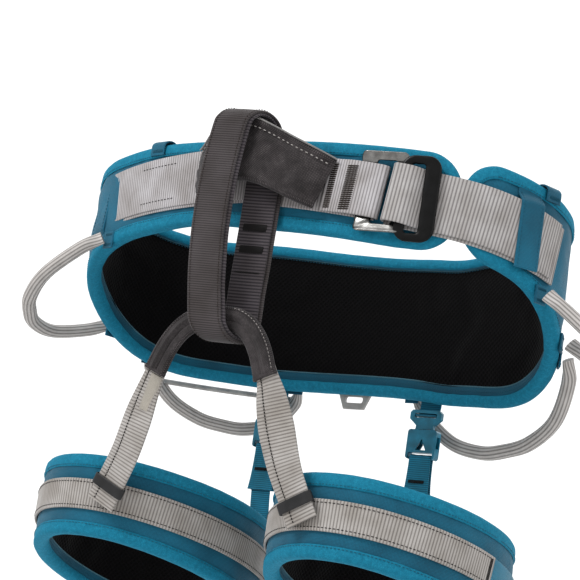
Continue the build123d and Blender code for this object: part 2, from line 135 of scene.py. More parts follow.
class Look:
    """A procedural material. Cloth patterns follow the weave's own distances, in mm."""

    def __init__(self, name, **finish):
        self.material = bpy.data.materials.new(name)
        self.material.use_nodes = True
        self.tree = self.material.node_tree
        self.shader = self.tree.nodes["Principled BSDF"]
        for socket, value in finish.items():
            self.shader.inputs[socket.replace("_", " ")].default_value = value

    def node(self, kind, *inputs, **settings):
        made = self.tree.nodes.new("ShaderNode" + kind)
        for key, value in settings.items():
            setattr(made, key, value)
        for i, value in enumerate(inputs):
            if isinstance(value, bpy.types.NodeSocket):
                self.tree.links.new(value, made.inputs[i])
            elif value is not None:
                made.inputs[i].default_value = value
        return made

    def maths(self, operation, *values):
        return self.node("Math", *values, operation=operation).outputs[0]

    def total(self, first, share, second, other):
        """share of the first value plus other of the second."""
        return self.maths("ADD", self.maths("MULTIPLY", first, share),
                          self.maths("MULTIPLY", second, other))

    def weave(self):
        """The distance along the cloth and across it."""
        spot = self.node("UVMap", uv_map="weave").outputs[0]
        parts = self.node("SeparateXYZ", spot).outputs
        return parts[0], parts[1]

    def wave(self, value, pitch):
        """From 0 in a groove to 1 on a rib, once for each pitch."""
        turn = self.maths("MULTIPLY", value, pi / pitch)
        return self.maths("ABSOLUTE", self.maths("SINE", turn))

    def specks(self, size, detail=2.0):
        """Noise with grains of about that many millimetres."""
        place = self.node("TexCoord").outputs["Object"]
        noisy = self.node("TexNoise", place)
        noisy.inputs["Scale"].default_value = 1000 / size
        noisy.inputs["Detail"].default_value = detail
        return noisy.outputs[0]

    def ramp(self, value, *stops):
        made = self.node("ValToRGB", value)
        elements = made.color_ramp.elements
        while len(elements) < len(stops):
            elements.new(0.5)
        for element, (at, colour) in zip(elements, stops):
            element.position = at
            element.color = tint(colour)
        return made.outputs[0]

    def mix(self, factor, first, second, blend="MIX"):
        made = self.node("Mix", data_type="RGBA", blend_type=blend)
        for i, value in ((0, factor), (6, first), (7, second)):
            if isinstance(value, bpy.types.NodeSocket):
                self.tree.links.new(value, made.inputs[i])
            else:
                made.inputs[i].default_value = value
        return made.outputs[2]

    def drive(self, name, value):
        self.tree.links.new(value, self.shader.inputs[name])

    def colour(self, value):
        self.drive("Base Color", value)

    def roughness(self, value, low, high):
        self.drive("Roughness", self.node("MapRange", value, 0.0, 1.0, low, high).outputs[0])

    def bump(self, height, strength, depth):
        """depth is the full height of the relief, in mm."""
        made = self.node("Bump")
        made.inputs["Strength"].default_value = strength
        made.inputs["Distance"].default_value = depth * MM
        # The loop's nine guide points, its chord's direction and the offset of its middle from the
        # chord.
        self.tree.links.new(height, made.inputs["Height"])
        self.drive("Normal", made.outputs[0])


def webbing_look(name, groove, rib, bright, pitch, sheen=0.15):
    """Cross-ribbed webbing: grooves painted darker as shade, crests lighter as highlight, yarns along
    each rib, soiling at large scale.
    """
    look = Look(name, Sheen_Weight=sheen, Sheen_Roughness=0.5, Specular_IOR_Level=0.25)
    along, across = look.weave()
    ribs = look.wave(along, pitch)
    yarns = look.wave(look.maths("ADD", across, look.maths("MULTIPLY", along, 0.35)), 0.75)
    fibre = look.specks(0.35)
    # The ramp by ribs paints shade into the grooves and highlight onto the rib crests, with random
    # fibre tone on top.
    base = look.ramp(look.total(ribs, 0.62, fibre, 0.42), (0.12, groove), (0.5, rib), (0.95, bright))
    patchy = look.ramp(look.specks(22.0), (0.3, "d8d5d1"), (0.7, "ffffff"))
    look.colour(look.mix(1.0, base, patchy, "MULTIPLY"))
    look.roughness(fibre, 0.72, 0.92)
    look.bump(look.total(yarns, 0.5, fibre, 0.7), 0.55, 0.22)
    return look.material


def cloth_look(name, dark, mid, light, pitch, sheen=0.1, diagonal=False, grain=0.5, worn="d6d8da",
               patch=35.0):
    """Plain or diagonal weave with slubs and slow variation of tone."""
    look = Look(name, Sheen_Weight=sheen, Sheen_Roughness=0.45, Specular_IOR_Level=0.3)
    along, across = look.weave()
    first, second = along, across
    if diagonal:
        first, second = look.maths("ADD", along, across), look.maths("SUBTRACT", along, across)
    weave = look.maths("MULTIPLY", look.wave(first, pitch), look.wave(second, pitch))
    grains = look.specks(grain)
    base = look.ramp(look.total(weave, 0.5, grains, 0.6), (0.15, dark), (0.5, mid), (0.9, light))
    slow = look.ramp(look.specks(patch), (0.35, worn), (0.68, "ffffff"))
    look.colour(look.mix(1.0, base, slow, "MULTIPLY"))
    look.roughness(grains, 0.6, 0.85)
    look.bump(look.maths("ADD", weave, grains), 0.6, 0.25)
    return look.material


def velvet_look(name, dark, mid, light):
    """Brushed tape: short pile that catches the light in flecks."""
    look = Look(name, Sheen_Weight=0.22, Sheen_Roughness=0.4, Sheen_Tint=tint(light),
                Specular_IOR_Level=0.2)
    pile, fleck = look.specks(0.6, 4.0), look.specks(2.6, 3.0)
    look.colour(look.ramp(look.total(pile, 0.6, fleck, 0.4), (0.25, dark), (0.52, mid), (0.82, light)))
    look.roughness(pile, 0.65, 0.9)
    look.bump(look.maths("ADD", pile, fleck), 0.7, 0.5)
    return look.material


def mesh_look(name):
    """Spacer mesh: raised diamonds of knit over holes painted dark as shade."""
    look = Look(name, Sheen_Weight=0.04, Sheen_Roughness=0.5, Specular_IOR_Level=0.12)
    along, across = look.weave()
    rise = look.wave(look.maths("ADD", along, across), 4.0)
    fall = look.wave(look.maths("SUBTRACT", along, across), 4.0)
    holes = look.maths("MULTIPLY", rise, fall)
    fibre = look.specks(0.4)
    tone = look.total(holes, -0.6, fibre, 1.0)
    # The holes are painted near black as shade, the raised knit lighter.
    look.colour(look.ramp(tone, (0.0, "010101"), (0.3, "050405"), (0.75, "131013")))
    look.roughness(fibre, 0.75, 0.95)
    look.bump(look.maths("MULTIPLY", holes, -1.0), 0.8, 0.5)
    return look.material


def moulded_look(name, base, worn, rough, clear=0.0):
    """Moulded plastic: fine spark texture, handling marks, a little light let through."""
    look = Look(name, Specular_IOR_Level=0.45, Transmission_Weight=clear)
    spark, marks = look.specks(0.5), look.specks(9.0, 4.0)
    look.colour(look.ramp(marks, (0.38, base), (0.72, worn)))
    look.roughness(marks, rough - 0.07, rough + 0.12)
    look.bump(spark, 0.35, 0.08)
    return look.material


def ribbed_look(name, groove, base, worn, pitch):
    """Moulded plastic with grooves along it, their bottoms painted darker as shade."""
    look = Look(name, Specular_IOR_Level=0.4)
    _, around = look.weave()
    ribs, marks = look.wave(around, pitch), look.specks(9.0, 4.0)
    tone = look.total(ribs, 0.75, marks, 0.35)
    # The ramp by ribs paints shade into the groove bottoms; the lightest colour goes on the crests.
    look.colour(look.ramp(tone, (0.25, groove), (0.6, base), (0.95, worn)))
    look.roughness(marks, 0.38, 0.58)
    look.bump(ribs, 0.4, 0.5)
    return look.material


def metal_look(name, base, worn, rough, metallic):
    """Metal with fine tumbling marks and rubbed patches."""
    look = Look(name, Metallic=metallic, Specular_IOR_Level=0.5 if metallic else 0.22)
    marks, scuffs = look.specks(0.7, 5.0), look.specks(6.0, 5.0)
    look.colour(look.ramp(scuffs, (0.4, base), (0.75, worn)))
    look.roughness(scuffs, rough, rough + 0.16)
    look.bump(marks, 0.25, 0.06)
    return look.material


def thread_look(name, dark, light):
    look = Look(name, Sheen_Weight=0.05, Specular_IOR_Level=0.3)
    twist = look.specks(0.3)
    look.colour(look.ramp(twist, (0.3, dark), (0.7, light)))
    look.roughness(twist, 0.5, 0.75)
    return look.material


LOOKS = {
    "teal": cloth_look("teal_weave", "0a4356", "125d75", "1e7791", 0.9),
    "velvet": velvet_look("teal_velvet", "0f5a70", "187089", "2c8ea8"),
    "tape": cloth_look("teal_tape", "083f51", "0e5166", "17677f", 0.8, diagonal=True),
    "mesh": mesh_look("black_mesh"),
    # In the webbing looks the first colour is painted shade for the grooves and the third a painted
    # highlight for the rib crests.
    "left_webbing": webbing_look("grey_webbing_left", "625f60", "979496", "b7b5b7", 2.3),
    "right_webbing": webbing_look("grey_webbing_right", "5c595a", "908d8d", "b4b2b1", 2.6),
    "strap_webbing": webbing_look("grey_webbing_strap", "5f5b58", "928e8b", "b1aeab", 2.4),
    "loop_webbing": webbing_look("charcoal_webbing", "282425", "3d393a", "565152", 1.7),
    "dark_webbing": webbing_look("dark_webbing", "1a1718", "39353a", "5a5558", 2.3),
    "sleeve": cloth_look("charcoal_weave", "120f10", "322e2f", "655f60", 1.5, 0.1, True, 0.8,
                         "b4b2b2", 10.0),
    "elastic": webbing_look("teal_elastic", "094252", "126079", "22809b", 1.6, 0.25),
    "black_thread": thread_look("black_thread", "050404", "131010"),
    "brown_thread": thread_look("brown_thread", "130e0c", "33281f"),
    "pale_thread": thread_look("pale_thread", "767270", "a29e9b"),
    "teal_thread": thread_look("teal_thread", "0a4051", "14566b"),
    "piping": cloth_look("pale_piping", "6f6c6a", "8f8c8a", "a8a5a3", 0.7),
    "edging": cloth_look("teal_edging", "2c5866", "46707d", "6f919b", 0.7),
    "steel": metal_look("steel", "6c6b69", "8a8987", 0.16, 1.0),
    "black_metal": metal_look("black_anodised", "040404", "0a0a0b", 0.2, 0.0),
    "grey_plastic": moulded_look("grey_moulded", "8b8987", "aaa7a4", 0.42),
    # Its first colour is the painted shade at the bottoms of the grooves.
    "ribbed_plastic": ribbed_look("grey_ribbed", "6f6c6a", "94908d", "b3afac", 2.5),
    "clear_plastic": moulded_look("grey_translucent", "9a9896", "b5b2af", 0.35, 0.35),
    "teal_plastic": moulded_look("teal_moulded", "0c5669", "187089", 0.34),
    "black_plastic": moulded_look("black_moulded", "121213", "222224", 0.4),
    "label": cloth_look("beige_label", "857f77", "a09a91", "b5b0a6", 0.6),
}


# --- mesh building -----------------------------------------------------------
Spot = namedtuple("Spot", "centre ahead across out gone")
STITCH_SIDES = 5


class Skin:
    """Collects tubes and sheets of points, in mm, into one piece."""

    def __init__(self):
        self.points, self.faces, self.weave = [], [], []

    def _patch(self, rows, gone, distance, size, closed, loop):
        """Quads over rows of points; distance(row, j) is how far across point j lies."""
        base, count = len(self.points), len(rows)
        for row in rows:
            self.points.extend(row)
        for i in range(count if loop else count - 1):
            after = (i + 1) % count
            for j in range(size if closed else size - 1):
                beside = (j + 1) % size
                here, there = base + i * size, base + after * size
                self.faces.append([here + j, here + beside, there + beside, there + j])
                self.weave.extend(
                    [(gone[i], distance(i, j)), (gone[i], distance(i, j + 1)),
                     (gone[i + 1], distance(after, j + 1)), (gone[i + 1], distance(after, j))]
                )
        return base

    def tube(self, rings, gone, around, loop=False):
        """A closed skin over rings; gone and around are distances along and round it."""
        size = len(rings[0])
        base = self._patch(rings, gone, lambda i, j: around[j], size, True, loop)
        if not loop:
            for i in (0, len(rings) - 1):
                self.faces.append([base + i * size + j for j in range(size)])
                self.weave.extend([(gone[i], around[j]) for j in range(size)])

    def sheet(self, rows, gone, across, loop=False):
        """An open sheet over rows of points; across gives each row's distances."""
        self._patch(rows, gone, lambda i, j: across[i][j], len(rows[0]), False, loop)

    def made(self, name, look, body, slot, nodes=(), crease=50):
        """The finished piece, on its body, standing for its CAD nodes."""
        mesh = bpy.data.meshes.new(name)
        mesh.from_pydata([tuple(point * MM) for point in self.points], [], self.faces)
        layer = mesh.uv_layers.new(name="weave")
        layer.data.foreach_set("uv", [value for spot in self.weave for value in spot])
        mesh.materials.append(LOOKS[look])
        mesh.shade_smooth()
        mesh.validate()
        piece = place_object(name, mesh)
        fix_normals(mesh)
        mesh.set_sharp_from_angle(angle=radians(crease))
        attach(piece, body)
        if nodes:
            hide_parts(*nodes)
        return piece


def fix_normals(mesh):
    work = bmesh.new()
    work.from_mesh(mesh)
    bmesh.ops.recalc_face_normals(work, faces=work.faces)
    work.to_mesh(mesh)
    work.free()


def attach(piece, body):
    """Rides on one body. Given a blend between two, (first, second, start, end) in mm, it only has its
    transform baked.
    """
    if isinstance(body, str):
        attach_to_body(piece, body)
    else:
        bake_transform(piece)


def ease(value, low, high):
    """0 below low, 1 above high, smooth between."""
    part = min(1.0, max(0.0, (value - low) / (high - low)))
    return part * part * (3 - 2 * part)


def bell(value, middle, reach):
    """1 at the middle, fading to nothing at about twice the reach."""
    return exp(-(((value - middle) / reach) ** 2))


def smooth(points, step=1.0):
    """Points along a curve that passes through the given ones."""
    points = [Vector(point) for point in points]
    padded = [2 * points[0] - points[1], *points, 2 * points[-1] - points[-2]]
    line = [points[0]]
    for a, b, c, d in zip(padded, padded[1:], padded[2:], padded[3:]):
        count = max(1, ceil((c - b).length / step))
        for i in range(1, count + 1):
            t = i / count
            line.append(0.5 * (
                2 * b + (c - a) * t + (2 * a - 5 * b + 4 * c - d) * t**2
                + (3 * b - a - 3 * c + d) * t**3
            ))
    return line


def spots(centres, out, across=None, loop=False):
    """Frames along a line of points; out and across give directions at each index."""
    frames, gone, count = [], 0.0, len(centres)
    for i, centre in enumerate(centres):
        if loop:
            ahead = centres[(i + 1) % count] - centres[i - 1]
        else:
            ahead = centres[min(i + 1, count - 1)] - centres[max(i - 1, 0)]
        ahead.normalize()
        side = across(i) if across else out(i).cross(ahead).normalized()
        face = ahead.cross(side).normalized()
        if i:
            gone += (centre - centres[i - 1]).length
        frames.append(Spot(centre, ahead, side, face, gone))
    return frames


def facing(frames, outwards):
    """The same frames, with outwards true of the first one's out direction or all turned over."""
    sign = 1 if outwards(frames[0]) else -1
    return [f._replace(out=f.out * sign) for f in frames]


def section(columns):
    """A strap's section as (edge position, corner across, corner out), all round."""
    flat = [2 * i / columns - 1 for i in range(columns + 1)]
    corner = [radians(a) for a in (60, 30, 0, -30, -60)]
    return (
        [(x, 0.0, 1.0) for x in flat]
        + [(1.0, cos(a), sin(a)) for a in corner]
        + [(x, 0.0, -1.0) for x in reversed(flat)]
        + [(-1.0, -cos(a), sin(a)) for a in reversed(corner)]
    )


def strap(skin, frames, width, thick, pitch=0.0, ridge=0.16, columns=10, loop=False, shape=None,
          waver=0.0):
    """Flat webbing along frames, with woven ribs. width, thick and shape may vary along it."""
    ring_shape = section(columns)
    rings, gone = [], []
    for i, spot in enumerate(frames):
        wide = width(i) if callable(width) else width
        deep = thick(i) if callable(thick) else thick
        half, radius = wide / 2, deep / 2
        rib = 0.0
        if pitch:
            rib = ridge * (abs(sin(pi * spot.gone / pitch)) ** 0.7 - 1)
        sway = waver * noise.noise(spot.centre * 0.06)
        ring = []
        for x, corner, face in ring_shape:
            across = x * (half - radius) + corner * radius
            out = face * radius + sway
            if corner == 0.0:
                out += face * rib * min(1.0, (half - radius) * (1 - abs(x)) / 1.5)
            if shape:
                more_across, more_out = shape(i, across / half, face)
                across, out = across + more_across, out + more_out
            ring.append(spot.centre + spot.across * across + spot.out * out)
        rings.append(ring)
        gone.append(spot.gone)
    wide = width(0) if callable(width) else width
    around = [0.0]
    for (x0, c0, f0), (x1, c1, f1) in zip(ring_shape, ring_shape[1:] + ring_shape[:1]):
        around.append(around[-1] + hypot((x1 - x0) * wide / 2, (c1 - c0), (f1 - f0)))
    if loop:
        gone.append(gone[-1] + (frames[0].centre - frames[-1].centre).length)
    skin.tube(rings, gone, around, loop)


def stitch(skin, start, end, out, radius=0.32):
    """One lockstitch, a short bead that dips at both ends."""
    along = end - start
    side = along.cross(out).normalized()
    rings = []
    for part, size, lift in ((0.0, 0.5, -0.5), (0.22, 1.0, 0.25), (0.78, 1.0, 0.25), (1.0, 0.5, -0.5)):
        centre = start + along * part + out * lift * radius
        rings.append([
            centre + (side * cos(a) + out * sin(a)) * radius * size
            for a in (2 * pi * k / STITCH_SIDES for k in range(STITCH_SIDES))
        ])
    skin.tube(rings, list(range(len(rings))), list(range(STITCH_SIDES + 1)))


def stitch_row(skin, frames, across, lift, pitch=3.0, cover=0.66, radius=0.32, start=0.0, end=None):
    """Running stitches along frames, across mm from the middle line and lift mm out of it."""
    end = frames[-1].gone if end is None else end
    line = [f for f in frames if start <= f.gone <= end]
    position, index = start, 0

    def at(distance):
        nonlocal index
        while index < len(line) - 2 and line[index + 1].gone < distance:
            index += 1
        a, b = line[index], line[index + 1]
        part = (distance - a.gone) / max(1e-6, b.gone - a.gone)
        return a.centre.lerp(b.centre, part) + a.across * across + a.out * lift, a.out

    while position + pitch < end and len(line) > 2:
        first, out = at(position)
        last, _ = at(position + pitch * cover)
        stitch(skin, first, last, out, radius)
        position += pitch


def bartack(skin, spot, lift, length, width, pitch=0.75, radius=0.3, side=1):
    """A dense block of zigzag across a strap, on its outer (1) or inner (-1) face."""
    out = spot.out * side
    for i in range(int(length / pitch)):
        place = spot.centre + out * lift + spot.across * (i * pitch - length / 2)
        reach, lean = spot.ahead * width / 2, spot.across * pitch * 0.5
        stitch(skin, place - reach, place + reach + lean, out, radius)


def band(name, look, body, slot, nodes, frames, width, thick, pitch=0.0, ridge=0.16, **form):
    """A strap that is a piece of its own."""
    skin = Skin()
    strap(skin, frames, width, thick, pitch, ridge, **form)
    skin.made(name, look, body, slot, nodes)


def nearest(frames, value, measure):
    return min(frames, key=lambda f: abs(measure(f) - value))


def height(spot):
    return spot.centre.z


def gone_by(spot):
    return spot.gone


# --- the rings that the padding follows --------------------------------------
class Ring:
    """A four-arc oval with sloping edges. s runs round from one side's middle."""

    def __init__(self, half_long, half_short, side_radius, edges, middle=(0, 0), turned=False,
                 give=()):
        self.radius = side_radius
        self.reach = half_long - side_radius
        self.end = (self.reach**2 + half_short**2 - side_radius**2) / (2 * (half_short - side_radius))
        self.sink = self.end - half_short
        self.angle = atan2(self.reach, self.sink)
        self.quarter = self.end * self.angle
        self.side = side_radius * (pi - 2 * self.angle)
        self.length = 4 * self.quarter + 2 * self.side
        self.edges, self.middle, self.turned, self.give = edges, Vector((*middle, 0)), turned, give

    def out(self, s):
        return self._find(s)[1]

    def at(self, s, off=0.0, z=0.0):
        point, out = self._find(s)
        lean = SIDE_LEAN * (z + 35) * bell(s, *LEAN_AT) if self.give else 0.0
        point = point + out * (off - lean) + self.middle
        return Vector((point.x, point.y, z))

    def _find(self, s):
        s = (s + self.length / 2) % self.length - self.length / 2
        sign, run = (1 if s >= 0 else -1), abs(s)
        if run <= self.quarter:
            turn, centre, radius = run / self.end, Vector((0, self.sink, 0)), self.end
        elif run <= self.quarter + self.side:
            turn = self.angle + (run - self.quarter) / self.radius
            centre, radius = Vector((self.reach, 0, 0)), self.radius
        else:
            turn = pi - self.angle + (run - self.quarter - self.side) / self.end
            centre, radius = Vector((0, -self.sink, 0)), self.end
        out = Vector((sin(turn), -cos(turn), 0))
        point = centre + out * radius
        point.x, out.x = sign * point.x, sign * out.x
        if self.turned:
            point, out = Vector((-point.y, point.x, 0)), Vector((-out.y, out.x, 0))
        return point, out

    def edge(self, s, which, half=96.0):
        """The height of the lower (0) or upper (1) edge."""
        front, back = self.edges[which]
        y = self._find(s)[0].y
        return (front + back) / 2 + (back - front) / (2 * half) * y + self.given(s, which)

    def given(self, s, which):
        """How far that edge of the soft padding hangs above its straight line."""
        if not self.give:
            return 0.0
        half = self.length / 2
        return sum(rise * bell((s - middle + half) % self.length - half, 0, reach)
                   for middle, reach, rise in self.give[which])


# Webbing, keeper and gear loops at the wearer's right lean in towards their tops, round (middle,
# reach). The padding and its binding are given no negative distances, so they don't lean along.
SIDE_LEAN, LEAN_AT = 0.09, (-200, 60)
# Where the belt's soft edges leave their straight lines, as round swells (middle, reach, rise):
# those of the lower edge, then those of the upper one.
SOFT_EDGES = (
    ((-470, 90, 7.8), (-271, 52, -8.5), (-130, 30, 4.0), (-65, 62, 7.5), (40, 50, 0.8),
     (150, 30, 3.0), (208, 50, 9.5), (336, 46, -9.8), (400, 28, -2.5)),
    ((-470, 40, 1.0), (-395, 68, 6.0), (-212, 25, -2.0), (-102, 60, 3.8), (400, 22, -2.0)),
)
WAIST = Ring(193, 96, 76, ((-1, -90), (66, 26)), give=SOFT_EDGES)
LEGS = {
    side: Ring(96, 80, 64, ((-230, -282), (-172, -206)), (-5 + side * 103, -6), turned=True)
    for side in (-1, 1)
}
BELT_START, BELT_END = GAP_AT + GAP / 2, GAP_AT - GAP / 2 + WAIST.length


def rounded(s, start, end):
    """How far the padding's edge draws in near its rounded ends."""
    near = min(s - start, end - s)
    if near >= END_RADIUS:
        return 0.0
    return END_RADIUS - (END_RADIUS**2 - (END_RADIUS - max(near, 0.0)) ** 2) ** 0.5


# --- padding -----------------------------------------------------------------
PAD_ROWS, PAD_INSET = 13, 5.0
BACK_ROW = 2 * PAD_ROWS + 3  # less a row's number: the same height on the pad's inner side
OUTER, INNER = 3.2, -3.8
# How far the swollen cloth may stand off: belt cover, leg cover, lining. The cover keeps only part
# of that under the webbing, and the lining draws in to nothing near its tape.
COVER_ROOM, LEG_ROOM, LINING_ROOM = 3.4, 1.3, 3.6
UNDER_WEBBING, TAPE_REACH = 0.62, (6, 17)
SWELL_FRAMES = 20


def pad_spots(ring, looped):
    """Distances round the ring, closer together at rounded ends."""
    if looped:
        count = round(ring.length / 6)
        return [ring.length * i / count for i in range(count)]
    close = [0.0, 0.6, 1.8, 3.6, 6.0, 9.0, 12.5, 16.5, 21.0]
    span = BELT_END - BELT_START
    count = round((span - 52) / 6)
    middle = [26 + (span - 52) * i / count for i in range(count + 1)]
    return [BELT_START + x for x in close + middle + [span - x for x in reversed(close)]]


def pad_limits(s, ring, looped, inset):
    draw = 0.0 if looped else rounded(s, BELT_START, BELT_END)
    return ring.edge(s, 0) + draw + inset, ring.edge(s, 1) - draw - inset


def pad_form(ring, looped):
    """Rings of points for a closed pad, with the weave's distances."""
    places = pad_spots(ring, looped)
    rings = []
    for s in places:
        low, high = pad_limits(s, ring, looped, PAD_INSET)
        heights = [low + (high - low) * k / PAD_ROWS for k in range(PAD_ROWS + 1)]
        rings.append(
            [ring.at(s, OUTER, z) for z in heights]
            + [ring.at(s, 1.2, high + 1.5), ring.at(s, -1.6, high + 1.5)]
            + [ring.at(s, INNER, z) for z in reversed(heights)]
            + [ring.at(s, -1.6, low - 1.5), ring.at(s, 1.2, low - 1.5)]
        )
    return places, rings


def start_pad(name, ring, looped):
    places, rings = pad_form(ring, looped)
    skin = Skin()
    size = len(rings[0])
    skin.tube(rings, list(range(len(rings) + 1)), list(range(size + 1)), looped)
    mesh = bpy.data.meshes.new(name)
    mesh.from_pydata([tuple(point * MM) for point in skin.points], [], skin.faces)
    pad = place_object(name, mesh)
    fix_normals(mesh)
    held = pad.vertex_groups.new(name="held")
    last = len(rings) - 1
    for i in range(len(rings)):
        for j in range(size):
            row = j if j <= PAD_ROWS else (BACK_ROW - j if j >= PAD_ROWS + 3 else -1)
            if row <= 0 or row == PAD_ROWS or (not looped and i in (0, last)):
                held.add([i * size + j], 1.0, "REPLACE")
            elif row in (1, PAD_ROWS - 1):
                held.add([i * size + j], 0.55, "REPLACE")
    return pad, places, size


def inflate(pads):
    """Blows the pads up as cloth, all in one run of frames."""
    for pad in pads:
        cloth = pad.modifiers.new("swell", "CLOTH")
        cloth.settings.quality = 6
        cloth.settings.mass = 0.2
        cloth.settings.tension_stiffness = 12
        cloth.settings.bending_stiffness = 0.6
        cloth.settings.vertex_group_mass = "held"
        cloth.settings.use_pressure = True
        cloth.settings.uniform_pressure_force = 4.0
        cloth.settings.shrink_min = -0.035
        cloth.settings.effector_weights.gravity = 0.0
        cloth.collision_settings.use_collision = False
        cloth.point_cache.frame_end = SWELL_FRAMES
    for step in range(1, SWELL_FRAMES + 1):
        bpy.context.scene.frame_set(step)
    depsgraph = bpy.context.evaluated_depsgraph_get()
    for pad in pads:
        swollen = pad.evaluated_get(depsgraph)
        places = [vertex.co.copy() for vertex in swollen.data.vertices]
        pad.modifiers.clear()
        for vertex, place in zip(pad.data.vertices, places):
            vertex.co = place
    bpy.context.scene.frame_set(1)


def run_height(run, s):
    """The height of a run of webbing's middle line."""
    point = WAIST.at(s)
    return run[0] + run[1] * point.x + run[2] * (point.y + 96)


def webbing_shadow(s, z):
    """1 where the belt's webbing lies on the cover, 0 well clear of it."""
    turn = (s + WAIST.length / 2) % WAIST.length - WAIST.length / 2
    shade = 0.0
    for run, width, first, last in (
        (LEFT_RUN, LEFT_WIDTH, -160, 0), (RIGHT_RUN, RIGHT_WIDTH, 0, 232)
    ):
        middle = run_height(run, turn)
        beside = ease(first - turn, 2, 14) + ease(turn - last, 2, 14)
        above = ease(abs(z - middle), width / 2 + 2, width / 2 + 12)
        shade = max(shade, 1 - min(1.0, beside + above))
    return shade


def finish_pad(pad, places, size, ring, looped, body, names):
    """Cuts the swollen pad into its cover and lining, kept close to their seams."""
    rows = {"cover": [], "lining": []}
    weave = {"cover": [], "lining": []}
    for i, s in enumerate(places):
        out = ring.out(s)
        low, high = pad_limits(s, ring, looped, PAD_INSET)
        for part in rows:
            row = []
            for k in range(PAD_ROWS + 1):
                j = k if part == "cover" else BACK_ROW - k
                point = pad.data.vertices[i * size + j].co / MM
                crown = 1 - (2 * k / PAD_ROWS - 1) ** 2
                off = (point - ring.at(s, 0.0, point.z)).dot(out)
                if part == "cover":
                    roomy = LEG_ROOM
                    if not looped:
                        roomy = COVER_ROOM * (1 - UNDER_WEBBING * webbing_shadow(s, point.z))
                    new = OUTER + min(max(off - OUTER, 0.0) * 0.6 + crown * 0.9, roomy)
                else:
                    swell = min(max(INNER - off, 0.0) * 0.7 + crown, LINING_ROOM)
                    inside = min(point.z - low, high - point.z)
                    if not looped:
                        inside = min(inside, s - BELT_START - 5, BELT_END - s - 5)
                    new = INNER - swell * ease(inside, *TAPE_REACH)
                row.append(point + out * (new - off))
            rows[part].append(row)
            weave[part].append([point.z for point in row])
    gone = list(places) + [places[0] + ring.length]
    for part, look, slot, nodes in names:
        skin = Skin()
        skin.sheet(rows[part], gone, weave[part], looped)
        name = f"{part}_{body}" if looped else f"waist_{part}"
        piece = skin.made(name + "_cloth", look, body, slot, nodes)
        thick = piece.modifiers.new("cloth", "SOLIDIFY")
        thick.thickness = 0.0008
        thick.offset = -1.0
        finer = piece.modifiers.new("fine", "SUBSURF")
        finer.levels = finer.render_levels = 1
    bpy.data.objects.remove(pad)


def padding():
    plans = [("waist_pad", WAIST, False, BELT)]
    plans += [(f"leg_pad_{label}", LEGS[side], True, f"leg_{label}")
              for side, label in ((-1, "right"), (1, "left"))]
    started = [start_pad(name, ring, looped) for name, ring, looped, _ in plans]
    inflate([pad for pad, _, _ in started])
    for (pad, places, size), (_, ring, looped, body) in zip(started, plans):
        tail = body.replace("leg", "") if looped else ""
        first = "leg" if looped else "waist"
        finish_pad(pad, places, size, ring, looped, body, (
            ("cover", "teal", "teal_fabric", [f"{first}_cover{tail}", f"{first}_foam{tail}"]),
            ("lining", "mesh", "black_mesh", [f"{first}_lining{tail}"]),
        ))


padding()

# --- binding -----------------------------------------------------------------
# The roll's section, as (inwards from the edge, outwards): velvet roll, then flat tape inside.
ROLL = [
    (9.0, 3.2), (9.4, 4.2), (8.6, 4.9), (6.4, 4.75), (4.0, 4.8), (1.9, 4.5), (0.4, 3.3), (-0.5, 1.4),
    (-0.8, -0.9), (-0.4, -3.2), (0.8, -5.2), (2.8, -6.5), (5.0, -6.8), (6.9, -6.2), (7.9, -5.0),
    (7.2, -3.0),
]
TAPE = [(6.6, -3.4), (7.6, -5.15), (9.0, -5.5), (13.2, -5.5), (14.0, -5.1), (14.1, -4.0), (13.0, -3.0)]
EDGING = [(13.7, -4.4), (13.9, -5.4), (14.3, -5.7), (14.8, -5.4), (14.9, -4.4), (14.3, -3.9)]


def edge_frames(ring, trail):
    """Frames along an edge given as (s, z): across points inwards, out points outwards."""
    points = [ring.at(s, 0.0, z) for s, z in trail]
    count = len(points)
    frames, gone = [], 0.0
    for i, (s, _) in enumerate(trail):
        out = ring.out(s)
        ahead = (points[(i + 1) % count] - points[i - 1]).normalized()
        if i:
            gone += (points[i] - points[i - 1]).length
        frames.append(Spot(points[i], ahead, out.cross(ahead).normalized(), out, gone))
    return frames


def sweep(skin, frames, profile, ripple=0.0, size=7.0, shallow=lambda z: 0.0):
    """A closed profile of (across, out) carried round closed frames, with soft puckers."""
    rings = []
    for spot in frames:
        keep = 1 - shallow(spot)
        pucker = ripple * noise.noise(spot.centre / size)
        ring = []
        for across, out in profile:
            grow = 1 + (pucker / 5 if abs(out) > 4 else 0)
            across = min(across, 5.0) + max(0.0, across - 5.0) * keep
            ring.append(spot.centre + spot.across * (across + pucker * 0.4) + spot.out * out * grow)
        rings.append(ring)
    gone = [spot.gone for spot in frames]
    gone.append(gone[-1] + (frames[0].centre - frames[-1].centre).length)
    around = [0.0]
    for (a0, b0), (a1, b1) in zip(profile, profile[1:] + profile[:1]):
        around.append(around[-1] + hypot(a1 - a0, b1 - b0))
    skin.tube(rings, gone, around, loop=True)


def belt_trail():
    """The waist padding's edge: along the bottom, up one end, back along the top, down."""
    start, end = BELT_START, BELT_END
    flat = [start + END_RADIUS + (end - start - 2 * END_RADIUS) * i / 300 for i in range(301)]
    turns = [radians(90) * i / 14 for i in range(1, 15)]

    def corner(tip, inwards, which, angles):
        places = [(tip + inwards * END_RADIUS * (1 - sin(angle)), angle) for angle in angles]
        rise = END_RADIUS * (1 - 2 * which)
        return [(s, WAIST.edge(s, which) + rise * (1 - cos(angle))) for s, angle in places]

    return (
        [(s, WAIST.edge(s, 0)) for s in flat] + corner(end, -1, 0, turns)
        + corner(end, -1, 1, turns[::-1]) + [(s, WAIST.edge(s, 1)) for s in reversed(flat)]
        + corner(start, 1, 1, turns) + corner(start, 1, 0, turns[::-1])
    )


def leg_trails(ring):
    count = 190
    low = [ring.length * i / count for i in range(count)]
    return ([(s, ring.edge(s, 0)) for s in low], [(s, ring.edge(s, 1)) for s in reversed(low)])


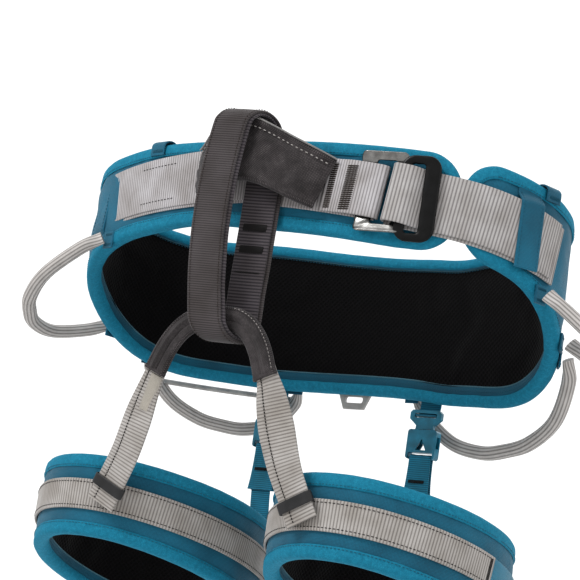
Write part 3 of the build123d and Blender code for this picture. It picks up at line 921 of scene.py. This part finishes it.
def binding(body, ring, trails, prefix, node):
    roll, tape, edging, thread = Skin(), Skin(), Skin(), Skin()

    def shallow(spot):
        """The tape is narrower inside the belt's upper edge at the back."""
        if ring is not WAIST:
            return 0.0
        return 0.55 * ease(spot.centre.y, -30, 30) * ease(-spot.across.z, 0.2, 0.8)

    for trail in trails:
        frames = edge_frames(ring, trail)
        sweep(roll, frames, ROLL, 0.35)
        sweep(tape, frames, TAPE, 0.12, 11.0, shallow)
        sweep(edging, frames, EDGING, 0.1, 7.0, shallow)
        stitch_row(thread, frames, 10.3, -5.75, 2.6, 0.62, 0.26, start=3)
        stitch_row(thread, frames, 7.9, 4.95, 2.6, 0.62, 0.26, start=3)
    roll.made(f"{prefix}_binding_roll", "velvet", body, "teal_binding", [node])
    tape.made(f"{prefix}_binding_tape", "tape", body, "teal_binding")
    edging.made(f"{prefix}_binding_edging", "edging", body, "teal_binding")
    thread.made(f"{prefix}_binding_thread", "teal_thread", body, "teal_binding")


binding(BELT, WAIST, [belt_trail()], "waist", "waist_binding")
for side, label in ((-1, "right"), (1, "left")):
    binding(f"leg_{label}", LEGS[side], leg_trails(LEGS[side]), f"leg_{label}", f"leg_binding_{label}")


# --- belt webbing ------------------------------------------------------------
def belt_frames(path, run, rise=0.0, step=0.5):
    """Frames round the belt along a path of (s, offset)."""
    line = smooth([(s, off, 0) for s, off in path], step)
    centres = [WAIST.at(p.x, p.y, run_height(run, p.x) + rise) for p in line]
    return spots(centres, lambda i: WAIST.out(line[i].x))


def belt_webbing():
    lower, upper, second = STACK + 0.5, STACK + 1.5, STACK + 3.1
    left = belt_frames([(s, upper) for s in (-160, -110, -60, -2)], LEFT_RUN)
    band("webbing_fixed_outer", "left_webbing", BELT, "grey_webbing", ["webbing_fixed"],
         left, LEFT_WIDTH, 1.0, 2.3, 0.2, waver=0.15)
    below = belt_frames([(s, lower) for s in (-160, -110, -60, -2)], LEFT_RUN, -2.0)
    band("webbing_fixed_inner", "left_webbing", BELT, "grey_webbing", (),
         below, LEFT_WIDTH, 0.95, 2.3, 0.2)
    dark, brown = Skin(), Skin()
    for across in (-13.5, 13.5):
        stitch_row(dark, left, across, 0.55, 3.4, 0.62, 0.3, start=50, end=90)
    dark.made("webbing_fixed_thread", "black_thread", BELT, "black_thread")

    front = belt_frames([(s, STACK + 1) for s in (-1, 50, 97)], RIGHT_RUN)
    band("webbing_front_strap", "left_webbing", BELT, "grey_webbing", ["webbing_front"],
         front, LEFT_WIDTH, WEBBING, 2.6, waver=0.1)
    over = belt_frames([(57, second), (63, second + 0.2), (70, 10.2), (76, 11.8), (84, 12.4),
                        (92, 12.4), (96.5, 12.0), (99.3, 10.4), (99.6, 7.4)], RIGHT_RUN)
    band("buckle_webbing_strap", "left_webbing", BELT, "grey_webbing", ["buckle_webbing"],
         over, LEFT_WIDTH - 1, WEBBING, 2.6, waver=0.2)
    for gone, wide in ((4.6, 5.6), (20.0, 9.0)):
        bartack(brown, nearest(over, gone, gone_by), 1.1, 34, wide, 1.5, 0.5)
    brown.made("webbing_front_bartacks", "brown_thread", BELT, "black_thread")

    load = belt_frames([(s, STACK + 1) for s in (105, 150, 190, 232)], RIGHT_RUN)
    band("webbing_load_strap", "right_webbing", BELT, "grey_webbing", ["webbing_load"],
         load, RIGHT_WIDTH, WEBBING, 2.6, 0.24, waver=0.1)
    tail = belt_frames([(104.6, 8.0), (104.8, 12), (106.4, 15.4), (110, 16.2), (117, 16.0),
                        (121, 14.0), (125.5, 10.2), (129.5, 8.3), (136, 8.1), (180, 8.2),
                        (226, 8.1)], RIGHT_RUN, 1.0)
    band("webbing_tail_strap", "right_webbing", BELT, "grey_webbing", ["webbing_tail"],
         tail, RIGHT_WIDTH - 2, WEBBING, 2.6, 0.26, waver=0.12)


def keeper(label, first, last, off, run, width):
    """A band over the webbing, from the padding's lower edge to its upper one."""
    s, radius = (first + last) / 2, WAIST.radius + off
    out, wide = WAIST.out(s), last - first
    low, high = WAIST.edge(s, 0) + 7.5, WAIST.edge(s, 1) - 7.5
    middle, half = run_height(run, s), width / 2
    centres = []
    count = ceil((high - low) / 0.8)
    for i in range(count + 1):
        z = low + (high - low) * i / count
        over = (ease(z, middle - half - 9, middle - half - 0.5)
                - ease(z, middle + half + 0.5, middle + half + 9))
        centres.append(WAIST.at(s, 4.0 + (off - 4.0) * over, z))
    frames = spots(centres, lambda i: out)
    thread = Skin()

    def wrap(i, x, face):
        puff = 0.25 * face * noise.noise(frames[i].centre * 0.12)
        return 0.0, -((x * wide / 2) ** 2) / (2 * radius) + puff

    band(f"keeper_{label}_band", "teal", BELT, "teal_binding", [f"keeper_{label}"],
         frames, wide, 1.4, 1.1, 0.08, shape=wrap, columns=14)
    for across in (-wide / 2 + 2.2, wide / 2 - 2.2):
        stitch_row(thread, frames, across, 0.25, 2.8, 0.64, 0.3, start=2)
    thread.made(f"keeper_{label}_thread", "teal_thread", BELT, "teal_binding")


def edge_loop(label, s, reach=8.0):
    """A small webbing loop folded over the padding's upper edge."""
    out, top = WAIST.out(s), WAIST.edge(s, 1) + 3.4
    inner, outer = -6.9, 6.5
    middle, half = (inner + outer) / 2, (outer - inner) / 2
    path = [(outer - 0.3, top - reach - 3.5), (outer, top - reach), (outer, top - 4.6)]
    path += [(middle + half * cos(a), top - 4.6 + 4.8 * sin(a))
             for a in (radians(18 * i) for i in range(1, 10))]
    path += [(inner, top - 4.6), (inner, top - reach), (inner + 0.2, top - reach - 3.0)]
    line = smooth([(off, z, 0) for off, z in path], 0.5)
    centres = [WAIST.at(s, p.x, p.y) for p in line]
    side = out.cross(UP)
    frames = spots(centres, None, across=lambda i: side)
    thread = Skin()
    band(f"{label}_band", "teal", BELT, "teal_binding", [label], frames, 15, 1.3, 1.3, 0.1)
    for spot in (frames[7], frames[-8]):
        for face in (1, -1):
            bartack(thread, spot, 0.75, 11, 2.4, side=face)
    thread.made(f"{label}_thread", "teal_thread", BELT, "teal_binding")


# --- buckle ------------------------------------------------------------------
def rounded_outline(wide, tall, corner, arc=8, along=14):
    """Points round a rounded rectangle, the same number for every size."""
    points = []
    x, y = wide / 2 - corner, tall / 2 - corner
    corners = ((x, -y, -90), (x, y, 0), (-x, y, 90), (-x, -y, 180))
    for k, (cx, cy, turn) in enumerate(corners):
        for i in range(arc + 1):
            angle = radians(turn + 90 * i / arc)
            points.append(Vector((cx + corner * cos(angle), cy + corner * sin(angle))))
        nx, ny, after = corners[(k + 1) % 4]
        start = points[-1]
        finish = Vector((nx + corner * cos(radians(after)), ny + corner * sin(radians(after))))
        points += [start.lerp(finish, i / along) for i in range(1, along)]
    return points


def buckle_frame(name, s, off, size, thick, slot, shift, corner, lip, look, body, slot_name, node):
    """A metal frame with one slot; its two ends turn up by lip."""
    origin = WAIST.at(s, off + thick / 2, run_height(RIGHT_RUN, s))
    out = WAIST.out(s)
    right = Vector((-out.y, out.x, 0))
    wide, tall = size
    outer = rounded_outline(wide, tall, corner)
    inner = [point + Vector((shift, 0)) for point in rounded_outline(*slot, 2.2)]
    rings = []
    for a, b in zip(outer, inner):
        middle, half = (a + b) / 2, (a - b) / 2
        lift = lip * ease(abs(middle.y), tall / 2 - 11, tall / 2 - 2)
        ring = []
        for k in range(16):
            angle = 2 * pi * (k + 0.5) / 16
            x = abs(cos(angle)) ** 0.5 * (1 if cos(angle) > 0 else -1)
            y = abs(sin(angle)) ** 0.5 * (1 if sin(angle) > 0 else -1)
            flat = middle + half * x
            grow = lift + lip * 0.5 * ease(abs(flat.y), tall / 2 - 3, tall / 2)
            ring.append(origin + right * flat.x + UP * flat.y + out * (y * thick / 2 + grow))
        rings.append(ring)
    skin = Skin()
    skin.tube(rings, list(range(len(rings) + 1)), list(range(17)), loop=True)
    skin.made(name, look, body, slot_name, [node], crease=70)


# --- tie-in points and belay loop --------------------------------------------
def between(points, x):
    """The height over x along a run of (x, z) points."""
    for (x0, z0), (x1, z1) in zip(points, points[1:]):
        if x <= x1:
            return z0 + (z1 - z0) * (x - x0) / (x1 - x0)
    return points[-1][1]


def softened(points, x, reach=7.0):
    return sum(between(points, x + reach * k / 4) for k in range(-4, 5)) / 9


def upper_tie_in():
    """A fabric sleeve over webbing, that the belay loop hangs on."""
    top = [(-80, 57), (-45, 57.6), (-18, 75), (6, 77), (61, 52.2), (80, 44)]
    low = [(-80, 24), (-45, 24.4), (-18, 29.2), (6, 29.2), (61, 14.3), (80, 10)]
    ends = WAIST.at(-47, 11.3), WAIST.at(64, 10.6)
    line = smooth([ends[0], (-31, -117.6, 0), (-17, -122.6, 0), (0, -123.2, 0), (15, -122.6, 0),
                   (31, -117.4, 0), (47, -112.5, 0), ends[1]], 0.9)
    centres = [Vector((p.x, p.y, (softened(top, p.x) + softened(low, p.x)) / 2)) for p in line]
    frames = facing(spots(centres, None, across=lambda i: UP), lambda f: f.out.y < 0)
    count = len(frames)
    widths = [softened(top, p.x) - softened(low, p.x) for p in line]

    def drape(i, x, face):
        spot = frames[i]
        fold = 1.3 * noise.noise(Vector((spot.centre.x * 0.09, x * 3.4, face)))
        crease = -0.5 * bell(x, 0.62, 0.09) - 0.35 * bell(x, -0.7, 0.1)
        ends_in = 1.6 * (ease(i, count - 9, count) + 1 - ease(i, 0, 8))
        crown = 0.5 * (1 - x * x)
        return 0.0, face * (fold + crease + crown - ends_in)

    skin, thread = Skin(), Skin()
    strap(skin, frames, lambda i: widths[i], 6.6, 0, columns=26, shape=drape)
    for point in skin.points:
        down = (softened(top, point.x) - point.z) / (softened(top, point.x) - softened(low, point.x))
        back = 12.0 * ease(point.x, 12, 66) * max(0.0, min(1.0, down))
        point.x, point.y = point.x - back, point.y - back * 0.38
    skin.made("upper_tie_in_sleeve", "sleeve", BELT, "charcoal_webbing", ["upper_tie_in"])
    edge = [f._replace(centre=f.centre + UP * (widths[i] / 2 - 0.4) + f.out * 2.6)
            for i, f in enumerate(frames)]
    band("upper_tie_in_piping", "piping", BELT, "grey_webbing", (), edge, 1.5, 1.4, columns=2)
    row = [f._replace(centre=f.centre + UP * (widths[i] / 2 - 7.0)) for i, f in enumerate(frames)]
    stitch_row(thread, row, 0, 3.6, 3.8, 0.5, 0.45, start=6, end=row[-1].gone - 4)
    thread.made("upper_tie_in_thread", "pale_thread", BELT, "grey_webbing")


def belay_loop():
    face = Vector((cos(radians(LOOP_FACE)), sin(radians(LOOP_FACE)), 0))
    across = Vector((-face.y, face.x, 0))
    centre = (FRONT_STRAND + REAR_STRAND) / 2
    lean = (REAR_STRAND - FRONT_STRAND).normalized()
    middle_z = (LOOP_TOP + LOOP_BOTTOM) / 2
    depth = (REAR_STRAND - FRONT_STRAND).dot(across) / 2 + LOOP_STRAND / 2
    half = (LOOP_TOP - LOOP_BOTTOM) / 2 - depth

    def layer(radius, step=0.5):
        """Frames round the slot-shaped loop, up the rear strand, over, and down the front."""
        arc, straight = pi * radius, 2 * half
        total = 2 * (arc + straight)
        count = int(total / step)
        centres = []
        for i in range(count):
            t = total * i / count
            if t < straight:
                a, z = radius, -half + t
            elif t < straight + arc:
                turn = (t - straight) / radius
                a, z = radius * cos(turn), half + radius * sin(turn)
            elif t < 2 * straight + arc:
                a, z = -radius, half - (t - straight - arc)
            else:
                turn = (t - 2 * straight - arc) / radius
                a, z = -radius * cos(turn), -half - radius * sin(turn)
            sway = 0.7 * sin(z * 0.031 + 0.6) - 0.3
            rise, front = z / half, (1 - a / radius) / 2
            rear_bow = sway * 0.6 - 6.0 * ease(rise, 0.55, 1.1)
            bow = front * (6.5 * min(rise * rise, 1.2) - 1.7 * rise) + (1 - front) * rear_bow
            z -= 3.0 * ease(rise, 0.8, 1.2)
            plan = centre + lean * (a / lean.dot(across)) + face * bow
            centres.append(Vector((plan.x, plan.y, middle_z + z)) + across * sway * 0.5)
        hub = Vector((centre.x, centre.y, middle_z))
        return facing(spots(centres, None, across=lambda i: face, loop=True),
                      lambda f: f.out.dot(f.centre - hub) > 0)

    outer, inner = layer(depth - 1.2), layer(depth - 3.45)
    wide = LOOP_WIDTH - 1.0

    def soft(frames):
        def shape(i, x, side):
            edge = -0.25 * bell(abs(x), 0.86, 0.05) * side
            ripple = noise.noise(Vector((x, frames[i].centre.z * 0.05, 3.0)))
            return 0.25 * ripple, edge - 0.35 * x * x
        return shape

    for name, frames, look, pitch, nodes in (
        ("belay_loop_outer", outer, "loop_webbing", 1.7, ["belay_loop"]),
        ("belay_loop_inner", inner, "dark_webbing", 2.3, []),
    ):
        band(name, look, "belay_loop", "charcoal_webbing", nodes, frames, wide, 2.1, pitch, 0.17,
             columns=12, loop=True, shape=soft(frames))
    thread, tacks = Skin(), Skin()
    for side in (-1, 1):
        stitch_row(thread, outer, side * (wide / 2 - 1.9), 1.15, 2.4, 0.62, 0.24)
    thread.made("belay_loop_thread", "brown_thread", "belay_loop", "black_thread")
    for frames, heights, *size, face in (
        (inner, ((0.0, 5.4), (-16.0, 5.4), (-33.0, 0.9)), 1.35, 0.7, 0.7, 0.5, -1),
        (outer, ((-16.0, 4.6), (5.0, 4.6)), 1.25, 0.62, 0.8, 0.36, 1),
    ):
        lift, share, pitch, radius = size
        rear = [f for f in frames if f.centre.y > centre.y]
        for rise, long in heights:
            spot = nearest(rear, middle_z + rise, height)
            bartack(tacks, spot, lift, wide * share, long, pitch, radius, face)
    tacks.made("belay_loop_bartack_thread", "black_thread", "belay_loop", "black_thread",
               ["belay_loop_bartacks"])


BRIDGE_BLEND = ("belay_loop", BELT, (0, BRIDGE_Y, -76.0), (0, BRIDGE_Y, -108.0))


def lower_tie_in():
    arm = [(9, -71.6), (19, -73.6), (30, -81), (39, -93.5), (BRIDGE_END_X, BRIDGE_END_Z)]
    path = [(-x, z) for x, z in reversed(arm)] + arm
    line = smooth([(x, BRIDGE_Y, z) for x, z in path], 0.7)
    frames = spots(line, lambda i: Vector((0, -1, 0)))
    count = len(frames)

    def folds(i, x, face):
        along = frames[i].gone
        ridge = 0.75 * bell(x, 0.25, 0.16) - 0.7 * bell(x, -0.2, 0.08) - 0.5 * bell(x, 0.66, 0.07)
        drift = 0.5 * noise.noise(Vector((along * 0.06, x * 1.7, face * 3)))
        return 0.0, face * (ridge * 1.15 + drift)

    lining, thread = Skin(), Skin()
    band("lower_tie_in_sleeve", "sleeve", BRIDGE_BLEND, "charcoal_webbing", ["lower_tie_in"],
         frames, lambda i: 18.6 - 1.2 * sin(pi * i / count), 4.8, columns=24, shape=folds)
    stitch_row(thread, frames, 7.4, 2.5, 2.6, 0.55, 0.26, start=frames[-1].gone * 0.6)
    thread.made("lower_tie_in_thread", "pale_thread", BRIDGE_BLEND, "grey_webbing")
    for place, turn in ((frames[0], 1), (frames[-1], -1)):
        hem = [place.centre + place.ahead * turn * (0.2 - 0.4 * i) for i in range(7)]
        rows = [place._replace(centre=c, gone=i * 0.4) for i, c in enumerate(hem)]
        strap(lining, rows, 19.2, 5.6, 0, columns=12)
    lining.made("lower_tie_in_hems", "sleeve", BRIDGE_BLEND, "charcoal_webbing")


# --- gear loops and haul loop ------------------------------------------------
def gear_path(name):
    """The loop's nine guide points, its chord's direction and the normal of its plane."""
    start, end, reach, drop = GEAR_LOOPS[name]
    ends = []
    for s in (start, end):
        point = WAIST.at(s, 4.8 + GEAR_RADIUS + 2.4)
        ends.append(Vector((point.x, point.y, WAIST.edge(s, 0) - WAIST.given(s, 0) * 0.5 + 7)))
    first, last = ends
    outwards = (last - first).cross(UP).normalized()
    if outwards.dot(WAIST.out((start + end) / 2)) < 0:
        outwards = -outwards
    sag = outwards * reach - UP * drop
    parts = ((0.0, 0.0), (0.03, 0.3), (0.16, 0.74), (0.34, 0.96), (0.5, 1.0),
             (0.66, 0.96), (0.84, 0.74), (0.97, 0.3), (1.0, 0.0))
    points = [first + (last - first) * part + sag * share for part, share in parts]
    return points, (last - first).normalized(), sag


def gear_loop(name):
    points, chord, sag = gear_path(name)
    normal = chord.cross(sag).normalized()
    line = smooth(points, 1.4)
    frames = spots(line, lambda i: normal)
    total = frames[-1].gone
    size, rings = 48, []
    for spot in frames:
        near = min(spot.gone, total - spot.gone)
        flat = 0.42 + 0.58 * ease(near, 0, 15)
        wide = 1.12 - 0.12 * ease(near, 0, 15)
        sway = 1 + 0.03 * noise.noise(spot.centre * 0.05)
        ring = []
        for k in range(size):
            angle = 2 * pi * k / size
            groove = 0.5 - 0.5 * cos(12 * angle)
            radius = GEAR_RADIUS * sway * (1 - 0.075 * groove**2)
            ring.append(spot.centre + spot.across * cos(angle) * radius * flat * 1.16
                        + spot.out * sin(angle) * radius * wide * 1.04)
        rings.append(ring)
    skin = Skin()
    skin.tube(rings, [f.gone for f in frames], [30.0 * k / size for k in range(size + 1)])
    node = f"gear_loop_{name}"
    skin.made(f"{node}_tube", "ribbed_plastic", node, "grey_plastic", [node])
    if name == "rear_right":
        first = points[0] + sag * 0.46 + chord * 9.0
        last = points[-1] + sag * 0.3 - chord * 6.0 + UP * 3
        count = 40
        bow = [first.lerp(last, i / count) - UP * 0.8 * sin(pi * i / count) for i in range(count + 1)]
        bar_frames = spots(bow, lambda i: normal)
        bar = Skin()
        rings = [
            [f.centre + (f.across * cos(a) + f.out * sin(a) * 1.25) * (2.0 - 0.25 * (k % 3 == 0))
             for k, a in ((k, 2 * pi * k / 18) for k in range(18))]
            for f in bar_frames
        ]
        bar.tube(rings, [f.gone for f in bar_frames], list(range(19)))
        bar.made("gear_bar_rear_right_rod", "grey_plastic", node, "grey_plastic",
                 ["gear_bar_rear_right"])


def gear_anchors():
    """The webbing tabs that hold the ends of the gear loops to the belt."""
    tabs, thread = Skin(), Skin()
    for start, end, _, _ in GEAR_LOOPS.values():
        for s in (start, end):
            low = WAIST.edge(s, 0) - max(0.0, WAIST.given(s, 0)) * 0.5 + 0.5
            out = WAIST.out(s)
            centres = [WAIST.at(s, 5.8, low + 13 * i / 26) for i in range(27)]
            frames = spots(centres, lambda i: out)
            strap(tabs, frames, 12, 1.6, 1.6, 0.12, columns=8)
            for i in (5, 21):
                bartack(thread, frames[i], 0.85, 9, 2)
    tabs.made("gear_loop_tabs", "teal", BELT, "teal_binding", ["gear_loop_anchors"])
    thread.made("gear_loop_tab_thread", "teal_thread", BELT, "teal_binding")


# --- leg loops ---------------------------------------------------------------
def leg_webbing(side, label):
    ring, body = LEGS[side], f"leg_{label}"
    start = -10.0 if side > 0 else ring.length / 2 - 56
    split_at = start + 66.0

    def frames(first, last, step):
        count = ceil((last - first) / step)
        places = [first + (last - first) * i / count for i in range(count + 1)]
        centres = [ring.at(s, STACK + 1, (ring.edge(s, 0) + ring.edge(s, 1)) / 2) for s in places]
        return spots(centres, lambda i: ring.out(places[i]))

    thread = Skin()
    long_way = frames(split_at, start + ring.length, 0.6)
    band(f"leg_webbing_{label}_band", "strap_webbing", body, "grey_webbing",
         [f"leg_webbing_{label}"], long_way, 22, WEBBING, 2.4, 0.2, waver=0.1)
    band(f"leg_elastic_{label}_band", "elastic", body, "teal_binding", [f"leg_elastic_{label}"],
         frames(start, split_at, 0.5), 21, WEBBING, 1.6, 0.16)
    for across in (-8.5, 8.5):
        stitch_row(thread, long_way, across, 1.1, 3.0, 0.66, 0.3, start=3)
    for spot in (long_way[6], long_way[-7]):
        bartack(thread, spot, 1.15, 18, 3.5)
    thread.made(f"leg_webbing_{label}_thread", "black_thread", body, "black_thread")


def leg_strap(side, label):
    drop = STRAP_FOOT_Z - BRIDGE_END_Z
    lean = atan2(STRAP_FOOT_Y - STRAP_TOP_Y, -drop)
    top_x = side * BRIDGE_END_X
    shift = STRAP_FOOT[side] - top_x
    origin = Vector((0, STRAP_TOP_Y, BRIDGE_END_Z))
    down, front = Vector((0, -sin(lean), cos(lean))), Vector((0, -cos(lean), -sin(lean)))
    path = [(top_x - shift * 0.03, 4), (top_x + shift * 0.13, drop * 0.12),
            (top_x + shift * 0.5, drop * 0.58), (top_x + shift * 0.8, drop * 0.84),
            (top_x + shift, drop)]
    line = smooth([origin + Vector((x, 0, 0)) + down * y + front * 1.3 for x, y in path], 0.5)
    frames = spots(line, lambda i: front)
    total = frames[-1].gone

    def width(i):
        return 17.0 + 7.4 * ease(frames[i].gone, 2, 46)

    def shape(i, x, face):
        near = 1 - ease(frames[i].gone, 0, 42)
        cup = -1.5 * near * x * x
        roll = 0.45 * face * ease(-x, 0.52, 0.6) * (1 if face else 0)
        groove = -0.35 * face * bell(x, -0.5, 0.045)
        ripple = 0.25 * noise.noise(frames[i].centre * 0.05)
        gone = frames[i].gone
        twist = -4.0 * x * ease(gone, 2, 24) * (1 - ease(gone, 36, total - 12)) if side > 0 else 0.0
        return 0.0, cup + roll + groove + ripple + twist

    thread = Skin()
    blend = (BELT, f"leg_{label}", (0, STRAP_TOP_Y, -112.0), (0, STRAP_FOOT_Y, -198.0))
    band(f"leg_strap_{label}_webbing", "strap_webbing", blend, "grey_webbing",
         [f"leg_strap_{label}"], frames, width, 2.0, 2.3, 0.2, columns=24, shape=shape)
    rows = [f._replace(centre=f.centre - f.across * width(i) / 2 * 0.5
                       + f.out * (shape(i, -0.5, 1.0)[1] + 0.3))
            for i, f in enumerate(frames)]
    stitch_row(thread, rows, 0, 0.95, 2.2, 0.72, 0.42, start=1)
    thread.made(f"leg_strap_{label}_thread", "black_thread", blend, "black_thread")

    keep = nearest(frames, total * 0.87, gone_by)
    half = STRAP_WIDTH / 2
    turn = [(-half - 0.4, -1.4), (-half - 1.2, 0.2), (-half - 0.2, 1.9), (-half + 4, 2.35), (0, 2.4),
            (half - 4, 2.35), (half + 0.2, 1.9), (half + 1.2, 0.2), (half + 0.4, -1.4)]
    line = smooth([keep.centre + keep.across * x + keep.out * y for x, y in turn], 0.5)
    band(f"leg_keeper_{label}_band", "black_plastic", f"leg_{label}", "black_plastic",
         [f"leg_keeper_{label}"], spots(line, None, across=lambda i: keep.ahead), 8, 1.2, 1.2, 0.12,
         columns=6)

    if side < 0:
        sewn = Skin()
        part = [f._replace(centre=f.centre + f.across * 3.7 + f.out * 1.0)
                for f in frames if 7 < f.gone < 35]
        band("care_label_patch", "label", blend, "beige_label", ["care_label"], part, 9.6, 0.5,
             columns=6, shape=lambda i, x, face: (0.0, -0.5 * (x + 0.6) ** 2 + 0.25))
        for across in (-3.9, 3.9):
            stitch_row(sewn, part, across, 0.3, 2.0, 0.6, 0.2, start=part[0].gone + 1,
                       end=part[-1].gone)
        sewn.made("care_label_thread", "pale_thread", blend, "grey_webbing")


def riser(side, label):
    x, y = RISER_X[side], RISER_Y[side]
    wall = (WAIST.end + STACK) ** 2 - (abs(x) - 10) ** 2
    tab_y, outer_y = wall**0.5 - WAIST.sink + 0.8, y + 2.9
    run = Vector((1, 0, 0))

    def frames(path, step=0.5):
        line = smooth([(x, py, pz) for py, pz in path], step)
        return facing(spots(line, None, across=lambda i: run), lambda f: f.out.y > 0)

    tab = frames([(tab_y - 0.2, -63), (tab_y, -75), (tab_y, -88), (outer_y + 0.4, -92.8),
                  (outer_y, -95.6), (y + 0.5, -96.6), (y - 2.0, -96)])
    thread = Skin()
    band(f"riser_tab_{label}_band", "elastic", BELT, "teal_binding", [f"riser_tab_{label}"],
         tab, 18, 1.3, 1.4, 0.1, columns=10)
    for i in (8, 26):
        bartack(thread, tab[i], 0.75, 14, 2.8)
    thread.made(f"riser_tab_{label}_thread", "black_thread", BELT, "black_thread")

    low, clip = CLIP_BOTTOM - 34, f"clip_{label}"
    fold = frames([(y - 2.2, low), (y - 1.9, low + 15), (y - 1.8, CLIP_BOTTOM - 4),
                   (y - 1.9, CLIP_BOTTOM + 1.6), (y, CLIP_BOTTOM + 3.4), (y + 1.9, CLIP_BOTTOM + 1.6),
                   (y + 1.8, CLIP_BOTTOM - 4), (y + 1.9, low + 15), (y + 2.4, low)])
    half = len(fold) / 2

    def flare(i, x_part, face):
        away = abs(i - half) / half
        return x_part * 2.2 * away**2, 0.5 * noise.noise(Vector((x_part * 1.5, away * 2, 5.0)))

    thread = Skin()
    band(f"riser_fold_{label}_band", "elastic", clip, "teal_binding", [f"riser_fold_{label}"],
         fold, 18.6, 1.2, 1.4, 0.1, columns=10, shape=flare)
    for spot in (fold[34], fold[-35]):
        away = 1 if spot.out.y * (spot.centre.y - y) > 0 else -1
        bartack(thread, spot, 0.95, 14, 2.8, side=away)
    thread.made(f"riser_fold_{label}_thread", "black_thread", clip, "black_thread")

    foot = RISER_FOOT_Y[side]
    elastic = frames([(y, CLIP_BOTTOM - 22), (y, low - 2), (foot + 0.2, -205), (foot, -214),
                      (foot, -236)])
    thread = Skin()
    blend = (BELT, f"leg_{label}", (x, y, -152.0), (x, foot, -210.0))
    band(f"riser_elastic_{label}_band", "elastic", blend, "teal_binding",
         [f"riser_elastic_{label}"], elastic, 17.6, 1.2, 1.6, 0.14, columns=10)
    for z in (-218, -231):
        bartack(thread, nearest(elastic, z, height), 0.7, 14, 2.6)
    thread.made(f"riser_elastic_{label}_thread", "black_thread", f"leg_{label}", "black_thread")


# --- the moulded parts that keep their CAD shape -----------------------------
def finish_moulded(node, look, bevel):
    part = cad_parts[node]
    part.data.materials.clear()
    part.data.materials.append(LOOKS[look])
    edge = part.modifiers.new("edges", "BEVEL")
    edge.width, edge.segments, edge.limit_method = bevel * MM, 3, "ANGLE"
    edge.angle_limit = radians(35)


belt_webbing()
keeper("right", -178, -153, 7.8, LEFT_RUN, LEFT_WIDTH)
keeper("left", 191, 211, 9.9, RIGHT_RUN, RIGHT_WIDTH)
edge_loop("edge_loop_right", -100)
edge_loop("edge_loop_left", 220)
buckle_frame("steel_frame_body", STEEL_AT, 7.7, (35, 58), 2.6, (15, 46), 2, 4, 3.0, "steel", BELT,
             "steel", "steel_frame")
buckle_frame("black_frame_body", BLACK_AT, 10.9, (29, 62), 3.0, (10, 50), -2, 10, 0.0,
             "black_metal", "buckle_frame", "black_metal", "black_frame")
upper_tie_in()
belay_loop()
lower_tie_in()
for loop_name in GEAR_LOOPS:
    gear_loop(loop_name)
gear_anchors()
finish_moulded("haul_loop", "clear_plastic", 0.5)
for side, label in ((-1, "right"), (1, "left")):
    leg_webbing(side, label)
    leg_strap(side, label)
    riser(side, label)
    finish_moulded(f"clip_male_{label}", "teal_plastic", 0.35)
    finish_moulded(f"clip_female_{label}", "teal_plastic", 0.5)


# --- floor -------------------------------------------------------------------
def floor():
    mesh = bpy.data.meshes.new("floor")
    reach, height = 6.0, -1.0
    mesh.from_pydata([(x, y, height) for x, y in
                      ((-reach, -reach), (reach, -reach), (reach, reach), (-reach, reach))],
                     [], [(0, 1, 2, 3)])
    look = Look("pale_floor", Roughness=0.9)
    look.colour(look.ramp(look.specks(60.0), (0.3, "ececec"), (0.7, "f2f2f2")))
    mesh.materials.append(look.material)
    place_object("floor", mesh)


floor()
